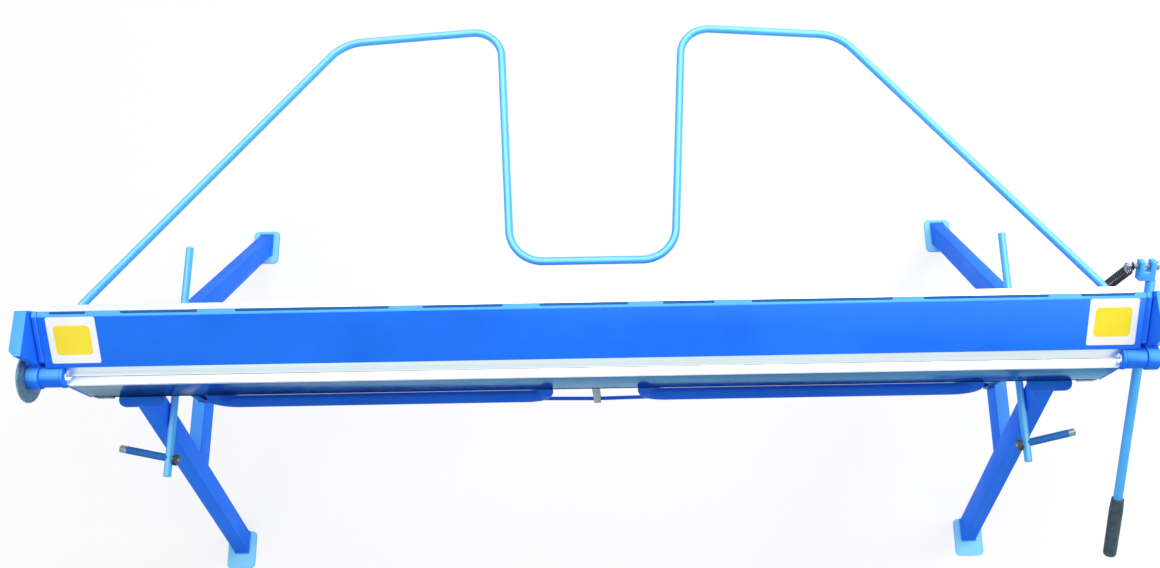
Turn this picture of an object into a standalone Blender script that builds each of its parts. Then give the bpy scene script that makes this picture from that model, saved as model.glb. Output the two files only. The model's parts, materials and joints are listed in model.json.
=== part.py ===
"""A sheet metal brake on two leg frames, about two metres of working length.

X runs along the bend line, +X towards the clamping lever. +Y points to the rear, +Z up.
The origin is on the floor, in the middle of the whole machine. Outlines are written
from the bend line: y is counted from it, and z from the floor.
"""

import math

import bmesh
import bpy
import numpy as np
from mathutils import Vector

# Clearances
SEAT = 0.0003  # between faces that rest on each other
RUN = 0.0003  # round a shaft, a pin or a bolt
SIDE_PLAY = 0.0005  # between the folding beam's bosses and the cheeks
WINDOW_PLAY = 0.0008  # above and below an eccentric in its window
OVERRUN = 0.003  # how far a cutter runs past what it cuts

# Bend line and table
BEND_Z = 0.850
WORK_HALF = 1.022  # half of the working length
TABLE_T = 0.010
TABLE_STRIP = 0.020  # how far the table reaches behind the lower beam
TABLE_STEP_IN = 0.0025  # the strip's wide part starts this far before the beam's rear wall

# Lower beam, a box with open ends
BOX_FRONT = 0.024
BOX_DEEP = 0.101
BOX_HIGH = 0.1174
BOX_WALL = 0.004
BOX_PAST_WORK = 0.028  # its ends stand this far past the working length

# Folding beam, hanging below the bend line at rest
FOLD_BACK = 0.0005  # its rear face stands this far before the bend line
FOLD_DEEP = 0.016
FOLD_HIGH = 0.1067
FOLD_WALL = 0.005
FOLD_BLADE_HIGH = 0.0127
TAB_WIDE = 0.035
TAB_DROP = 0.020
TAB_FROM_END = 0.002
FOLD_END_T = 0.006
FOLD_BOSS_R = 0.021
FOLD_BOSS_LONG = 0.0402
FOLD_COLLAR = 0.0015  # how much the end plate's round stands proud of the boss
HINGE_PIN_R = 0.009
HINGE_BUSH_WALL = 0.0037

# Grab handles and tension rod under the folding beam
HANDLE_R = 0.0125
HANDLE_IN = 0.086
HANDLE_FROM_END = 0.232
HANDLE_DROP = 0.0453
HANDLE_AHEAD = 0.0041  # its centre stands this far ahead of the beam's front face
HANDLE_BEND_R = 0.044
POST_WIDE = 0.015
POST_LONG = 0.155
ROD_R = 0.004
ROD_FROM_POST_END = 0.014
ROD_RISE = 0.068
ROD_FLAT = 0.010  # half of the rod's level stretch in the post
LUG_FROM_END = 0.210
LUG_T = 0.014
LUG_EDGE = 0.009  # from the rod to the lug's lower edge
ROD_HEAD_R = 0.008
ROD_HEAD_LONG = 0.007

# End cheeks
CHEEK_T = 0.024
CHEEK_FRONT = 0.018
CHEEK_REAR = 0.130
CHEEK_RISE = 0.095
CHEEK_SLANT_Y = 0.023
CHEEK_SLANT_Z = 0.098
CHEEK_TOE = 0.030
CHEEK_LUG_R = 0.024
CHEEK_CHAMFER = 0.011
CHEEK_FLANGE_GAP = 0.0125  # between its flange and the saddle plate

# Leg frames
LEG_FROM_END = 0.0945  # from the end of the working length to a leg's middle
LEG_WIDE = 0.035
LEG_DEEP = 0.050
LEG_WALL = 0.003
FRONT_LEG_FOOT = -0.250
FRONT_LEG_TOP = 0.0035
REAR_LEG_FOOT = 0.560
REAR_LEG_TOP = 0.073
FOOT_WIDE = 0.070
FOOT_LONG = 0.092
FOOT_T = 0.006
FOOT_CORNER_R = 0.012
FRONT_FOOT_SHIFT = -0.016
REAR_FOOT_SHIFT = -0.011
CROSSBAR_WIDE = 0.030
CROSSBAR_HIGH = 0.060
CROSSBAR_Z = 0.340
SADDLE_WIDE = 0.090
SADDLE_FRONT = -0.035
SADDLE_REAR = 0.145
SADDLE_T = 0.010
SADDLE_CORNER_R = 0.014

# Carrying bars and their cross pegs
BAR_R = 0.008
BAR_Z = 0.610
BAR_FRONT = -0.163
BAR_REAR = 0.343
PEG_Y = -0.125
PEG_R = 0.008
PEG_REACH = 0.104
PEG_TILT = math.radians(12.0)
PEG_CHAMFER = 0.001
STUD_R = 0.004
STUD_PAST_NUT = 0.002
PEG_NUT_T = 0.009
PEG_NUT_R = 0.012

# Bolts: heads and nuts are six sided
BOLT_R = 0.005
BOLT_HEAD_R = 0.0098
BOLT_HEAD_T = 0.0065
BOLT_PAST_NUT = 0.002
SADDLE_BOLT_X = 0.033
SADDLE_BOLT_IN = 0.021  # from the lower beam's faces
CHEEK_BOLT_IN = 0.035  # from the inner end of the cheek's flange
SCREW_R = 0.004
SCREW_HEAD_R = 0.0072
SCREW_HEAD_T = 0.005
SCREW_BOTTOM_GAP = 0.001

# Rear sheet support, one bent tube
SUPPORT_R = 0.008
SUPPORT_BELOW_TABLE = 0.001
SUPPORT_FROM_END = 0.001
SUPPORT_END_BEND = 0.149
SUPPORT_KNEE_X = 0.529
SUPPORT_KNEE_Y = 0.722
SUPPORT_NECK_X = 0.194
SUPPORT_NECK_Y = 0.747
SUPPORT_U_X = 0.166
SUPPORT_U_Y = 0.2245
SUPPORT_END_R = 0.014
SUPPORT_KNEE_R = 0.100
SUPPORT_NECK_R = 0.060
SUPPORT_U_R = 0.070
FLANGE_WIDE = 0.056
FLANGE_HIGH = 0.052
FLANGE_T = 0.006
FLANGE_BOLT_X = 0.018
FLANGE_BOLT_UP = 0.016

# Clamping beam
PANEL_LONG = 0.106
PANEL_SLOPE = math.radians(36.2)
PANEL_FOOT = 0.012
PANEL_FOOT_UP = 0.005  # above the beam's bottom, so the folded foot clears the folding beam's bosses
FOOT_TURN = 0.0185  # where the bottom turns up to the panel's foot
BEAM_TOP_WIDE = 0.011
BEAM_WALL = 0.004
BEAM_PAST_WORK = 0.034
ARM_FRONT = 0.0225
NOTCH_DEEP = 0.0055
NOTCH_HIGH = 0.010
NOTCH_SPAN_SHARES = (
    (-0.977, -0.913),
    (-0.849, -0.711),
    (-0.642, -0.366),
    (-0.304, -0.161),
    (-0.093, 0.065),
    (0.129, 0.221),
    (0.289, 0.542),
    (0.599, 0.823),
    (0.883, 0.978),
)
BLADE_HIGH = 0.0149
BLADE_DEEP = 0.056
BLADE_STUD_Y = 0.0485
BLADE_STUD_SHARES = (-0.9, -0.6, -0.3, 0.0, 0.3, 0.6, 0.9)
BLADE_NOSE = 0.0165
BLADE_SETBACK = 0.0008  # its front edge behind the bend line, so the folding blade swings past it

# Clamp drive: eccentrics on a cross shaft, in windows of the clamp arms
SHAFT_R = 0.010
SHAFT_Y = 0.090
SHAFT_BELOW = 0.0467  # below the bend line
SHAFT_BUSH_WALL = 0.0037
ECCENTRIC_R = 0.034
THROW = 0.020
THROW_ANGLE = math.radians(40.0)  # below level, towards the front, at rest
LEVER_TURN = math.radians(80.0)
ARM_T = 0.010
ARM_RIM = 0.008  # wall round the window
WINDOW_FRONT_PLAY = 0.001
WINDOW_REAR_PLAY = 0.0013
ARM_NECK_FRONT = 0.030
ARM_NECK_REAR = 0.105
GUIDE_PIN_R = 0.005
GUIDE_Y = 0.070
GUIDE_ABOVE = 0.035  # above the bend line
GUIDE_PLAY = 0.0006
GUIDE_IN = 0.001  # the pin ends this far inside the arm's inner face

# Clamping lever
LEVER_SLOPE = math.radians(38.4)  # the front arm points this far down at rest
LEVER_OFF_CHEEK = 0.001
LEVER_R = 0.0095
LEVER_REAR = 0.085
LEVER_LONG = 0.547
HUB_R = 0.018
GRIP_PAST_LEVER = 0.008
GRIP_LONG = 0.140
GRIP_R = 0.0145
GRIP_TAPER = 0.0015
GRIP_END_ROUND = 0.004
FORK_SHIFT = 0.012  # its middle stands this far inside the lever's
FORK_WIDE = 0.032
FORK_LONG = 0.040
FORK_DEEP = 0.020
FORK_SLOT = 0.012
FORK_SLOT_LONG = 0.022
SPRING_BOLT_FROM_END = 0.012
SPRING_BOLT_HEAD_T = 0.006
SPRING_BOLT_HEAD_R = 0.009
SPRING_BOLT_STOP_T = 0.004
SPRING_BOLT_STOP_R = 0.0075

# Counter spring and its strap
WIRE_R = 0.0015
COIL_R = 0.0095
COIL_TURNS = 40
COIL_POINTS = 8
SPRING_OFF_FORK = 0.001
HOOK_PLAY = 0.0007
HOOK_NECK = 0.014  # straight wire between a hook and the coil
SPRING_LOW_Z = 0.505
STRAP_T = 0.006
STRAP_FRONT = 0.060
STRAP_REAR = 0.115
STRAP_TOP_Z = 0.757
STRAP_FOOT_HALF = 0.014
STRAP_DEEP = 0.034
STRAP_SCREW_IN = 0.013
STRAP_SCREW_DEEP = 0.014
STRAP_SCREW_BELOW = 0.015
STRAP_PIN_STOP_T = 0.003
STRAP_PIN_STOP_R = 0.0075

# Angle scale at the left hinge
DISC_R = 0.050
DISC_T = 0.004
DISC_BORE_PLAY = 0.002
POINTER_T = 0.005
POINTER_HUB_R = 0.015
POINTER_REACH = 0.043
POINTER_ROOT_HALF = 0.007
POINTER_TIP_HALF = 0.0015
POINTER_GAP = 0.0004
POINTER_NUT_T = 0.008
POINTER_NUT_R = 0.016

# Numbers of sides and steps
ROUND = 24
SMALL_ROUND = 12
HEX = 6
ARC_STEP = math.radians(12.0)

# Finishes: colour, roughness, metallic
BLUE = ((0.02, 0.19, 0.94), 0.42, 0.0)
PALE_BLUE = ((0.17, 0.62, 1.0), 0.42, 0.0)
BARE_STEEL = ((0.72, 0.75, 0.77), 0.32, 1.0)
DARK_STEEL = ((0.05, 0.055, 0.06), 0.45, 0.9)
GREY_STEEL = ((0.28, 0.36, 0.40), 0.40, 0.9)
BRONZE = ((0.60, 0.40, 0.18), 0.40, 1.0)
DARK_GRIP = ((0.03, 0.06, 0.08), 0.75, 0.0)
SPRING_BLACK = ((0.02, 0.025, 0.03), 0.50, 0.6)

# Places worked out from the sizes
BOX_HALF = WORK_HALF + BOX_PAST_WORK
BEAM_HALF = WORK_HALF + BEAM_PAST_WORK
LEG_X = WORK_HALF - LEG_FROM_END
HANDLE_OUT = WORK_HALF - HANDLE_FROM_END
LUG_IN = WORK_HALF - LUG_FROM_END
SUPPORT_END_X = WORK_HALF - SUPPORT_FROM_END
GRIP_FROM = LEVER_LONG + GRIP_PAST_LEVER - GRIP_LONG
BOX_REAR = BOX_FRONT + BOX_DEEP
TABLE_BOTTOM = BEND_Z - TABLE_T
BOX_TOP = TABLE_BOTTOM - SEAT
BOX_BOTTOM = BOX_TOP - BOX_HIGH
SADDLE_TOP = BOX_BOTTOM - SEAT
SADDLE_BOTTOM = SADDLE_TOP - SADDLE_T
LEG_TOP = SADDLE_BOTTOM - SEAT
LEG_BOTTOM = FOOT_T + SEAT
FOLD_FRONT = -FOLD_BACK - FOLD_DEEP
FOLD_TOP = BEND_Z - FOLD_BLADE_HIGH - SEAT
FOLD_BOTTOM = FOLD_TOP - FOLD_HIGH
FOLD_MID = FOLD_FRONT + FOLD_DEEP / 2
FOLD_END_IN = WORK_HALF + SEAT
BOSS_OUT = FOLD_END_IN + FOLD_END_T + FOLD_BOSS_LONG
CHEEK_IN = BOSS_OUT + SIDE_PLAY
CHEEK_OUT = CHEEK_IN + CHEEK_T
CHEEK_FLANGE_IN = LEG_X + SADDLE_WIDE / 2 + CHEEK_FLANGE_GAP
CHEEK_BOLT_X = CHEEK_FLANGE_IN + CHEEK_BOLT_IN
SHAFT_Z = BEND_Z - SHAFT_BELOW
ARM_IN = BEAM_HALF + SEAT
ARM_OUT = ARM_IN + ARM_T
HINGE_BUSH_R = HINGE_PIN_R + RUN + HINGE_BUSH_WALL
SHAFT_BUSH_R = SHAFT_R + RUN + SHAFT_BUSH_WALL
DISC_IN = CHEEK_OUT + SEAT
POINTER_IN = DISC_IN + DISC_T + POINTER_GAP
POINTER_NUT_IN = POINTER_IN + POINTER_T + SEAT
LEVER_X = CHEEK_OUT + LEVER_OFF_CHEEK + LEVER_R
END_REACH = LEVER_X + GRIP_R
BEAM_BOTTOM = BEND_Z + SEAT + BLADE_HIGH + SEAT
BEAM_CREST = PANEL_FOOT + PANEL_LONG * math.cos(PANEL_SLOPE)
BEAM_TOP = BEAM_BOTTOM + PANEL_FOOT_UP + PANEL_LONG * math.sin(PANEL_SLOPE)
ARM_FRONT_TOP = BEAM_BOTTOM + PANEL_FOOT_UP + (ARM_FRONT - PANEL_FOOT) * math.tan(PANEL_SLOPE)
BEAM_REAR = BEAM_CREST + BEAM_TOP_WIDE
GUIDE_Z = BEND_Z + GUIDE_ABOVE
ECCENTRIC_Y = SHAFT_Y - THROW * math.cos(THROW_ANGLE)
ECCENTRIC_Z = SHAFT_Z - THROW * math.sin(THROW_ANGLE)
LIFT = THROW * (math.sin(THROW_ANGLE) + math.sin(LEVER_TURN - THROW_ANGLE))
ARM_WINDOW = (
    SHAFT_Y - THROW - ECCENTRIC_R - WINDOW_FRONT_PLAY,
    ECCENTRIC_Y + ECCENTRIC_R + WINDOW_REAR_PLAY,
    ECCENTRIC_Z - ECCENTRIC_R - WINDOW_PLAY,
    ECCENTRIC_Z + ECCENTRIC_R + WINDOW_PLAY,
)
FORK_X = LEVER_X - FORK_SHIFT
FORK_OUT_X = FORK_X + FORK_WIDE / 2
FORK_IN_X = FORK_X - FORK_WIDE / 2
SPRING_X = FORK_IN_X - SPRING_OFF_FORK - WIRE_R - COIL_R
SPRING_BOLT_BACK = LEVER_REAR + SEAT + FORK_LONG - SPRING_BOLT_FROM_END
SPRING_BOLT_END = SPRING_X - COIL_R
HOOK_R = BOLT_R + HOOK_PLAY + WIRE_R
STRAP_IN = CHEEK_OUT + SEAT
STRAP_OUT = STRAP_IN + STRAP_T
SUPPORT_Z = TABLE_BOTTOM - SUPPORT_BELOW_TABLE - SUPPORT_R
FLANGE_IN = BOX_REAR + SEAT
FLANGE_OUT = FLANGE_IN + FLANGE_T
FLANGE_TOP = BOX_TOP - SEAT
HANDLE_Y = FOLD_FRONT - HANDLE_AHEAD
HANDLE_Z = FOLD_BOTTOM - HANDLE_DROP
POST_BOTTOM = FOLD_BOTTOM - POST_LONG
ROD_Z = POST_BOTTOM + ROD_FROM_POST_END
LEVER_WAY = Vector((0, -math.cos(LEVER_SLOPE), -math.sin(LEVER_SLOPE)))
LEVER_ACROSS = Vector((0, math.sin(LEVER_SLOPE), -math.cos(LEVER_SLOPE)))


def box_outline(a0, a1, b0, b1):
    """The corners of a rectangle, counter-clockwise."""
    return [(a0, b0), (a1, b0), (a1, b1), (a0, b1)]


def arc(a, b, radius, start, end, step=ARC_STEP):
    """Points on an arc, both ends included."""
    count = max(1, math.ceil(abs(end - start) / step - 1e-6))
    angles = [start + (end - start) * i / count for i in range(count + 1)]
    return [(a + radius * math.cos(t), b + radius * math.sin(t)) for t in angles]


def circle(a, b, radius, sides=ROUND):
    angles = [math.tau * i / sides for i in range(sides)]
    return [(a + radius * math.cos(t), b + radius * math.sin(t)) for t in angles]


def rounded_outline(a0, a1, b0, b1, radius):
    """A rectangle with round corners."""
    quarter = math.pi / 2
    step = quarter / 4
    corners = ((a1, b1, 0), (a0, b1, 1), (a0, b0, 2), (a1, b0, 3))
    points = []
    for a, b, turn in corners:
        centre_a = a - math.copysign(radius, a - (a0 + a1) / 2)
        centre_b = b - math.copysign(radius, b - (b0 + b1) / 2)
        points += arc(centre_a, centre_b, radius, turn * quarter, (turn + 1) * quarter, step)
    return points


def capsule(a, b_low, b_high, radius):
    """A slot with round ends, standing upright."""
    upper = arc(a, b_high, radius, 0, math.pi, math.pi / 6)
    lower = arc(a, b_low, radius, math.pi, math.tau, math.pi / 6)
    return upper + lower


def point(axis, along, a, b):
    """A place along an axis, with the two other coordinates in the order x, y, z."""
    if axis == "x":
        return Vector((along, a, b))
    if axis == "y":
        return Vector((a, along, b))
    return Vector((a, b, along))


def prism(outline, start, end, axis="x"):
    """An outline carried along an axis."""
    mesh = bmesh.new()
    rings = [[mesh.verts.new(point(axis, at, a, b)) for a, b in outline] for at in (start, end)]
    for ring in rings:
        mesh.faces.new(ring)
    bridge(mesh, rings[0], rings[1])
    bmesh.ops.recalc_face_normals(mesh, faces=mesh.faces)
    return mesh


def bridge(mesh, one, other):
    count = len(one)
    for i in range(count):
        j = (i + 1) % count
        mesh.faces.new((one[i], one[j], other[j], other[i]))


def tube(outer, inner, start, end, axis="x"):
    """A hollow prism, open at both ends."""
    mesh = bmesh.new()
    rings = []
    for at in (start, end):
        for outline in (outer, inner):
            rings.append([mesh.verts.new(point(axis, at, a, b)) for a, b in outline])
    bridge(mesh, rings[0], rings[2])
    bridge(mesh, rings[1], rings[3])
    bridge(mesh, rings[0], rings[1])
    bridge(mesh, rings[2], rings[3])
    bmesh.ops.recalc_face_normals(mesh, faces=mesh.faces)
    return mesh


def turned(stations, origin, way, sides=ROUND, bored=False):
    """A round body from pairs of distance and radius along a direction.

    A bored one takes its stations as a closed loop, out along the outside and back inside.
    """
    mesh = bmesh.new()
    way = Vector(way).normalized()
    side = way.orthogonal() if abs(way.x) < 0.5 else Vector((0, 1, 0)) - way * way.y
    side.normalize()
    other = way.cross(side)
    rings = []
    for along, radius in stations:
        ring = []
        for i in range(sides):
            angle = math.tau * i / sides
            off = side * math.cos(angle) + other * math.sin(angle)
            ring.append(mesh.verts.new(Vector(origin) + way * along + off * radius))
        rings.append(ring)
    for one, next_one in zip(rings, rings[1:]):
        bridge(mesh, one, next_one)
    if bored:
        bridge(mesh, rings[-1], rings[0])
    else:
        mesh.faces.new(rings[0])
        mesh.faces.new(rings[-1])
    bmesh.ops.recalc_face_normals(mesh, faces=mesh.faces)
    return mesh


def together(meshes):
    """Separate solids in one mesh."""
    whole = bmesh.new()
    for mesh in meshes:
        part = bpy.data.meshes.new("part")
        mesh.to_mesh(part)
        mesh.free()
        whole.from_mesh(part)
        bpy.data.meshes.remove(part)
    return whole


def rounded_route(corners):
    """A route through corners (x, y, z, radius), with each corner rounded."""
    spots = [Vector(corner[:3]) for corner in corners]
    route = [spots[0]]
    for before, here, after, corner in zip(spots, spots[1:], spots[2:], corners[1:]):
        back = (before - here).normalized()
        on = (after - here).normalized()
        opening = back.angle(on)
        reach = corner[3] / math.tan(opening / 2)
        middle = here + (back + on).normalized() * (corner[3] / math.sin(opening / 2))
        first = here + back * reach - middle
        last = here + on * reach - middle
        turn = math.pi - opening
        count = max(2, math.ceil(turn / ARC_STEP))
        for i in range(count + 1):
            share = i / count
            ahead = first * math.sin((1 - share) * turn) + last * math.sin(share * turn)
            route.append(middle + ahead / math.sin(turn))
    route.append(spots[-1])
    return route


def paint(thing, look):
    """The piece's own material."""
    colour, roughness, metallic = look
    material = bpy.data.materials.new(thing.name)
    material.use_nodes = True
    shader = material.node_tree.nodes["Principled BSDF"]
    shader.inputs["Base Color"].default_value = (*colour, 1.0)
    shader.inputs["Roughness"].default_value = roughness
    shader.inputs["Metallic"].default_value = metallic
    thing.data.materials.append(material)


def carry(thing, body):
    """Hangs a piece modelled from the bend line on its body's pivot."""
    bpy.context.scene.collection.objects.link(thing)
    thing.parent = body
    thing.location = Vector((0, BEND_Y, 0)) - body.location


def piece(name, mesh, look, body, smooth=False):
    data = bpy.data.meshes.new(name)
    mesh.to_mesh(data)
    mesh.free()
    if smooth:
        data.shade_smooth()
        data.set_sharp_from_angle(angle=math.radians(35))
    thing = bpy.data.objects.new(name, data)
    paint(thing, look)
    carry(thing, body)
    return thing


def shaped(thing, body, mesh, operation="DIFFERENCE"):
    """Cuts a tool out of a piece, or joins one to it."""
    data = bpy.data.meshes.new(thing.name + "_tool")
    mesh.to_mesh(data)
    mesh.free()
    tool = bpy.data.objects.new(thing.name + "_tool", data)
    tool.hide_render = True
    tool.display_type = "WIRE"
    carry(tool, body)
    step = thing.modifiers.new("shape", "BOOLEAN")
    step.operation = operation
    step.solver = "EXACT"
    step.object = tool


def bent_tube(name, route, radius, look, body, smoothness=3, swell=None):
    """A tube along a route, with closed ends."""
    data = bpy.data.curves.new(name, "CURVE")
    data.dimensions = "3D"
    data.bevel_depth = radius
    data.bevel_resolution = smoothness
    data.use_fill_caps = True
    line = data.splines.new("POLY")
    line.points.add(len(route) - 1)
    line.use_smooth = True
    for i, spot in enumerate(route):
        line.points[i].co = (*spot, 1.0)
        if swell:
            line.points[i].radius = swell[i]
    thing = bpy.data.objects.new(name, data)
    paint(thing, look)
    carry(thing, body)
    return thing


def pivot(name, y, z):
    """An empty on a joint's axis."""
    empty = bpy.data.objects.new(name, None)
    empty.location = (0, BEND_Y + y, z)
    bpy.context.scene.collection.objects.link(empty)
    return empty


def bolt(spot, way, plate_t, wall):
    """A bolt with its nut, from a plate that it is one with, through the wall of a beam."""
    sunk = plate_t / 4
    held = plate_t + SEAT + wall + SEAT
    end = held + BOLT_HEAD_T
    stations = [
        (-BOLT_HEAD_T, BOLT_HEAD_R),
        (sunk, BOLT_HEAD_R),
        (sunk, BOLT_R),
        (held, BOLT_R),
        (held, BOLT_HEAD_R),
        (end, BOLT_HEAD_R),
        (end, BOLT_R),
        (end + BOLT_PAST_NUT, BOLT_R),
    ]
    return turned(stations, spot, way, HEX)


def strap_screw(spot):
    """A screw through the spring's strap into the cheek."""
    sunk = STRAP_T / 4
    stations = [
        (-SCREW_HEAD_T, SCREW_HEAD_R),
        (sunk, SCREW_HEAD_R),
        (sunk, SCREW_R),
        (STRAP_T + SEAT + STRAP_SCREW_DEEP, SCREW_R),
    ]
    return turned(stations, spot, (-1, 0, 0), HEX)


def blade_stud(spot):
    """A stud up from the clamping blade, with its nut inside the beam."""
    nut_low = BLADE_HIGH + SEAT + BEAM_WALL + SEAT
    stations = [
        (BLADE_HIGH / 2, SCREW_R),
        (nut_low, SCREW_R),
        (nut_low, SCREW_HEAD_R),
        (nut_low + SCREW_HEAD_T, SCREW_HEAD_R),
        (nut_low + SCREW_HEAD_T, SCREW_R),
        (nut_low + SCREW_HEAD_T + STUD_PAST_NUT, SCREW_R),
    ]
    return turned(stations, spot, (0, 0, 1), HEX)


def hole(spot, way, start, end, radius, sides=SMALL_ROUND):
    """A drill: a round cutter between two distances along a direction."""
    return turned([(start, radius), (end, radius)], spot, way, sides)


def span(side, near, far):
    """Two X values in rising order, on the given side of the middle."""
    return sorted((side * near, side * far))


def side_name(side):
    return "left" if side < 0 else "right"


def support_route():
    """The sheet support's centre line, from its left end to its right end."""
    half = [
        (SUPPORT_END_X, FLANGE_OUT + SEAT, SUPPORT_Z, 0),
        (SUPPORT_END_X, SUPPORT_END_BEND, SUPPORT_Z, SUPPORT_END_R),
        (SUPPORT_KNEE_X, SUPPORT_KNEE_Y, SUPPORT_Z, SUPPORT_KNEE_R),
        (SUPPORT_NECK_X, SUPPORT_NECK_Y, SUPPORT_Z, SUPPORT_NECK_R),
        (SUPPORT_U_X, SUPPORT_U_Y, SUPPORT_Z, SUPPORT_U_R),
    ]
    left = [(-x, y, z, radius) for x, y, z, radius in half]
    return rounded_route(left + half[::-1])


SUPPORT_ROUTE = support_route()
GRIP_END = GRIP_FROM + GRIP_LONG
GRIP_END_R = GRIP_R - GRIP_TAPER
GRIP_TIP_R = GRIP_END_R - GRIP_TAPER
FRONT_REACH = SHAFT_Y - GRIP_END * math.cos(LEVER_SLOPE) - GRIP_TIP_R * math.sin(LEVER_SLOPE)
REAR_REACH = max(spot.y for spot in SUPPORT_ROUTE) + SUPPORT_R
BEND_Y = -(FRONT_REACH + REAR_REACH) / 2


def leg_y(foot, top, z):
    """Where a leg's centre line passes at a height."""
    return foot + (top - foot) * z / LEG_TOP


def leg_stretch(foot, top):
    """How much longer a level cut through a leaning leg is than a square one."""
    return math.hypot(top - foot, LEG_TOP) / LEG_TOP


def make_leg(name, side, foot, top, body):
    half = LEG_DEEP / 2 * leg_stretch(foot, top)
    inner = half - LEG_WALL * leg_stretch(foot, top)
    near, far = span(side, LEG_X - LEG_WIDE / 2, LEG_X + LEG_WIDE / 2)
    outer_outline = box_outline(near, far, -half, half)
    inner_outline = box_outline(near + LEG_WALL, far - LEG_WALL, -inner, inner)
    mesh = tube(outer_outline, inner_outline, LEG_BOTTOM, LEG_TOP, "z")
    for vert in mesh.verts:
        vert.co.y += leg_y(foot, top, vert.co.z)
    piece(name, mesh, BLUE, body)


def make_crossbar(side, body):
    """The level bar between a frame's two legs, cut to lie along their faces."""
    near, far = span(side, LEG_X - CROSSBAR_WIDE / 2, LEG_X + CROSSBAR_WIDE / 2)
    low = CROSSBAR_Z
    high = CROSSBAR_Z + CROSSBAR_HIGH
    outer = box_outline(near, far, low, high)
    inner = box_outline(near + LEG_WALL, far - LEG_WALL, low + LEG_WALL, high - LEG_WALL)
    mesh = tube(outer, inner, -LEG_TOP, LEG_TOP, "y")
    front_stretch = leg_stretch(FRONT_LEG_FOOT, FRONT_LEG_TOP)
    rear_stretch = leg_stretch(REAR_LEG_FOOT, REAR_LEG_TOP)
    for vert in mesh.verts:
        if vert.co.y < 0:
            face = leg_y(FRONT_LEG_FOOT, FRONT_LEG_TOP, vert.co.z)
            vert.co.y = face + (LEG_DEEP / 2 + SEAT) * front_stretch
        else:
            face = leg_y(REAR_LEG_FOOT, REAR_LEG_TOP, vert.co.z)
            vert.co.y = face - (LEG_DEEP / 2 + SEAT) * rear_stretch
    piece(f"crossbar_{side_name(side)}", mesh, BLUE, body)


def make_foot_plate(name, side, y, body):
    centre = side * LEG_X
    outline = rounded_outline(
        centre - FOOT_WIDE / 2,
        centre + FOOT_WIDE / 2,
        y - FOOT_LONG / 2,
        y + FOOT_LONG / 2,
        FOOT_CORNER_R,
    )
    piece(name, prism(outline, 0, FOOT_T, "z"), BLUE, body)


def saddle_bolt_spots(side):
    spots = []
    for step in (-1, 1):
        for y in (BOX_FRONT + SADDLE_BOLT_IN, BOX_REAR - SADDLE_BOLT_IN):
            spots.append((side * LEG_X + step * SADDLE_BOLT_X, y, SADDLE_BOTTOM))
    return spots


def make_saddle(side, body):
    """The plate that joins the legs' tops and carries the lower beam, with its bolts."""
    centre = side * LEG_X
    outline = rounded_outline(
        centre - SADDLE_WIDE / 2,
        centre + SADDLE_WIDE / 2,
        SADDLE_FRONT,
        SADDLE_REAR,
        SADDLE_CORNER_R,
    )
    saddle = piece(
        f"saddle_plate_{side_name(side)}",
        prism(outline, SADDLE_BOTTOM, SADDLE_TOP, "z"),
        BLUE,
        body,
    )
    bolts = [bolt(spot, (0, 0, 1), SADDLE_T, BOX_WALL) for spot in saddle_bolt_spots(side)]
    shaped(saddle, body, together(bolts), "UNION")


def make_leg_frame(side, body):
    name = side_name(side)
    make_leg(f"front_leg_{name}", side, FRONT_LEG_FOOT, FRONT_LEG_TOP, body)
    make_leg(f"rear_leg_{name}", side, REAR_LEG_FOOT, REAR_LEG_TOP, body)
    make_crossbar(side, body)
    make_foot_plate(f"front_foot_{name}", side, FRONT_LEG_FOOT + FRONT_FOOT_SHIFT, body)
    make_foot_plate(f"rear_foot_{name}", side, REAR_LEG_FOOT + REAR_FOOT_SHIFT, body)
    make_saddle(side, body)


def make_carrying_bar(side, body):
    """A bar along a frame's inner side, with a peg screwed across it."""
    name = side_name(side)
    bar_x = side * (LEG_X - LEG_WIDE / 2 - SEAT - BAR_R)
    bar = piece(
        f"carry_bar_{name}",
        prism(circle(bar_x, BAR_Z, BAR_R, SMALL_ROUND), BAR_FRONT, BAR_REAR, "y"),
        PALE_BLUE,
        body,
        smooth=True,
    )
    spot = Vector((bar_x, PEG_Y, BAR_Z))
    way = Vector((side * math.cos(PEG_TILT), math.sin(PEG_TILT), 0))
    seat = (BAR_R + PEG_R * math.sin(PEG_TILT) + SEAT) / math.cos(PEG_TILT)
    nut_seat = (BAR_R + PEG_NUT_R * math.sin(PEG_TILT) + SEAT) / math.cos(PEG_TILT)
    end = PEG_REACH / math.cos(PEG_TILT)
    shaped(bar, body, hole(spot, way, -nut_seat, seat, STUD_R + RUN))
    stations = [
        (-nut_seat - PEG_NUT_T - STUD_PAST_NUT, STUD_R),
        (seat, STUD_R),
        (seat, PEG_R),
        (end - PEG_CHAMFER, PEG_R),
        (end, PEG_R - PEG_CHAMFER),
    ]
    peg = turned(stations, spot, way, SMALL_ROUND)
    piece(f"carry_peg_{name}", peg, PALE_BLUE, body, smooth=True)
    bore = (STUD_R + RUN) / math.cos(math.pi / HEX)
    stations = [
        (-nut_seat - PEG_NUT_T, PEG_NUT_R),
        (-nut_seat, PEG_NUT_R),
        (-nut_seat, bore),
        (-nut_seat - PEG_NUT_T, bore),
    ]
    nut = turned(stations, spot, way, HEX, bored=True)
    piece(f"peg_nut_{name}", nut, DARK_STEEL, body)


def cheek_bolt_spots(side):
    rows = (BOX_FRONT + SADDLE_BOLT_IN, BOX_REAR - SADDLE_BOLT_IN)
    return [(side * CHEEK_BOLT_X, y, SADDLE_BOTTOM) for y in rows]


def support_bolt_spots(side):
    z = FLANGE_TOP - FLANGE_HIGH + FLANGE_BOLT_UP
    return [(side * SUPPORT_END_X + step * FLANGE_BOLT_X, FLANGE_OUT, z) for step in (-1, 1)]


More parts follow.
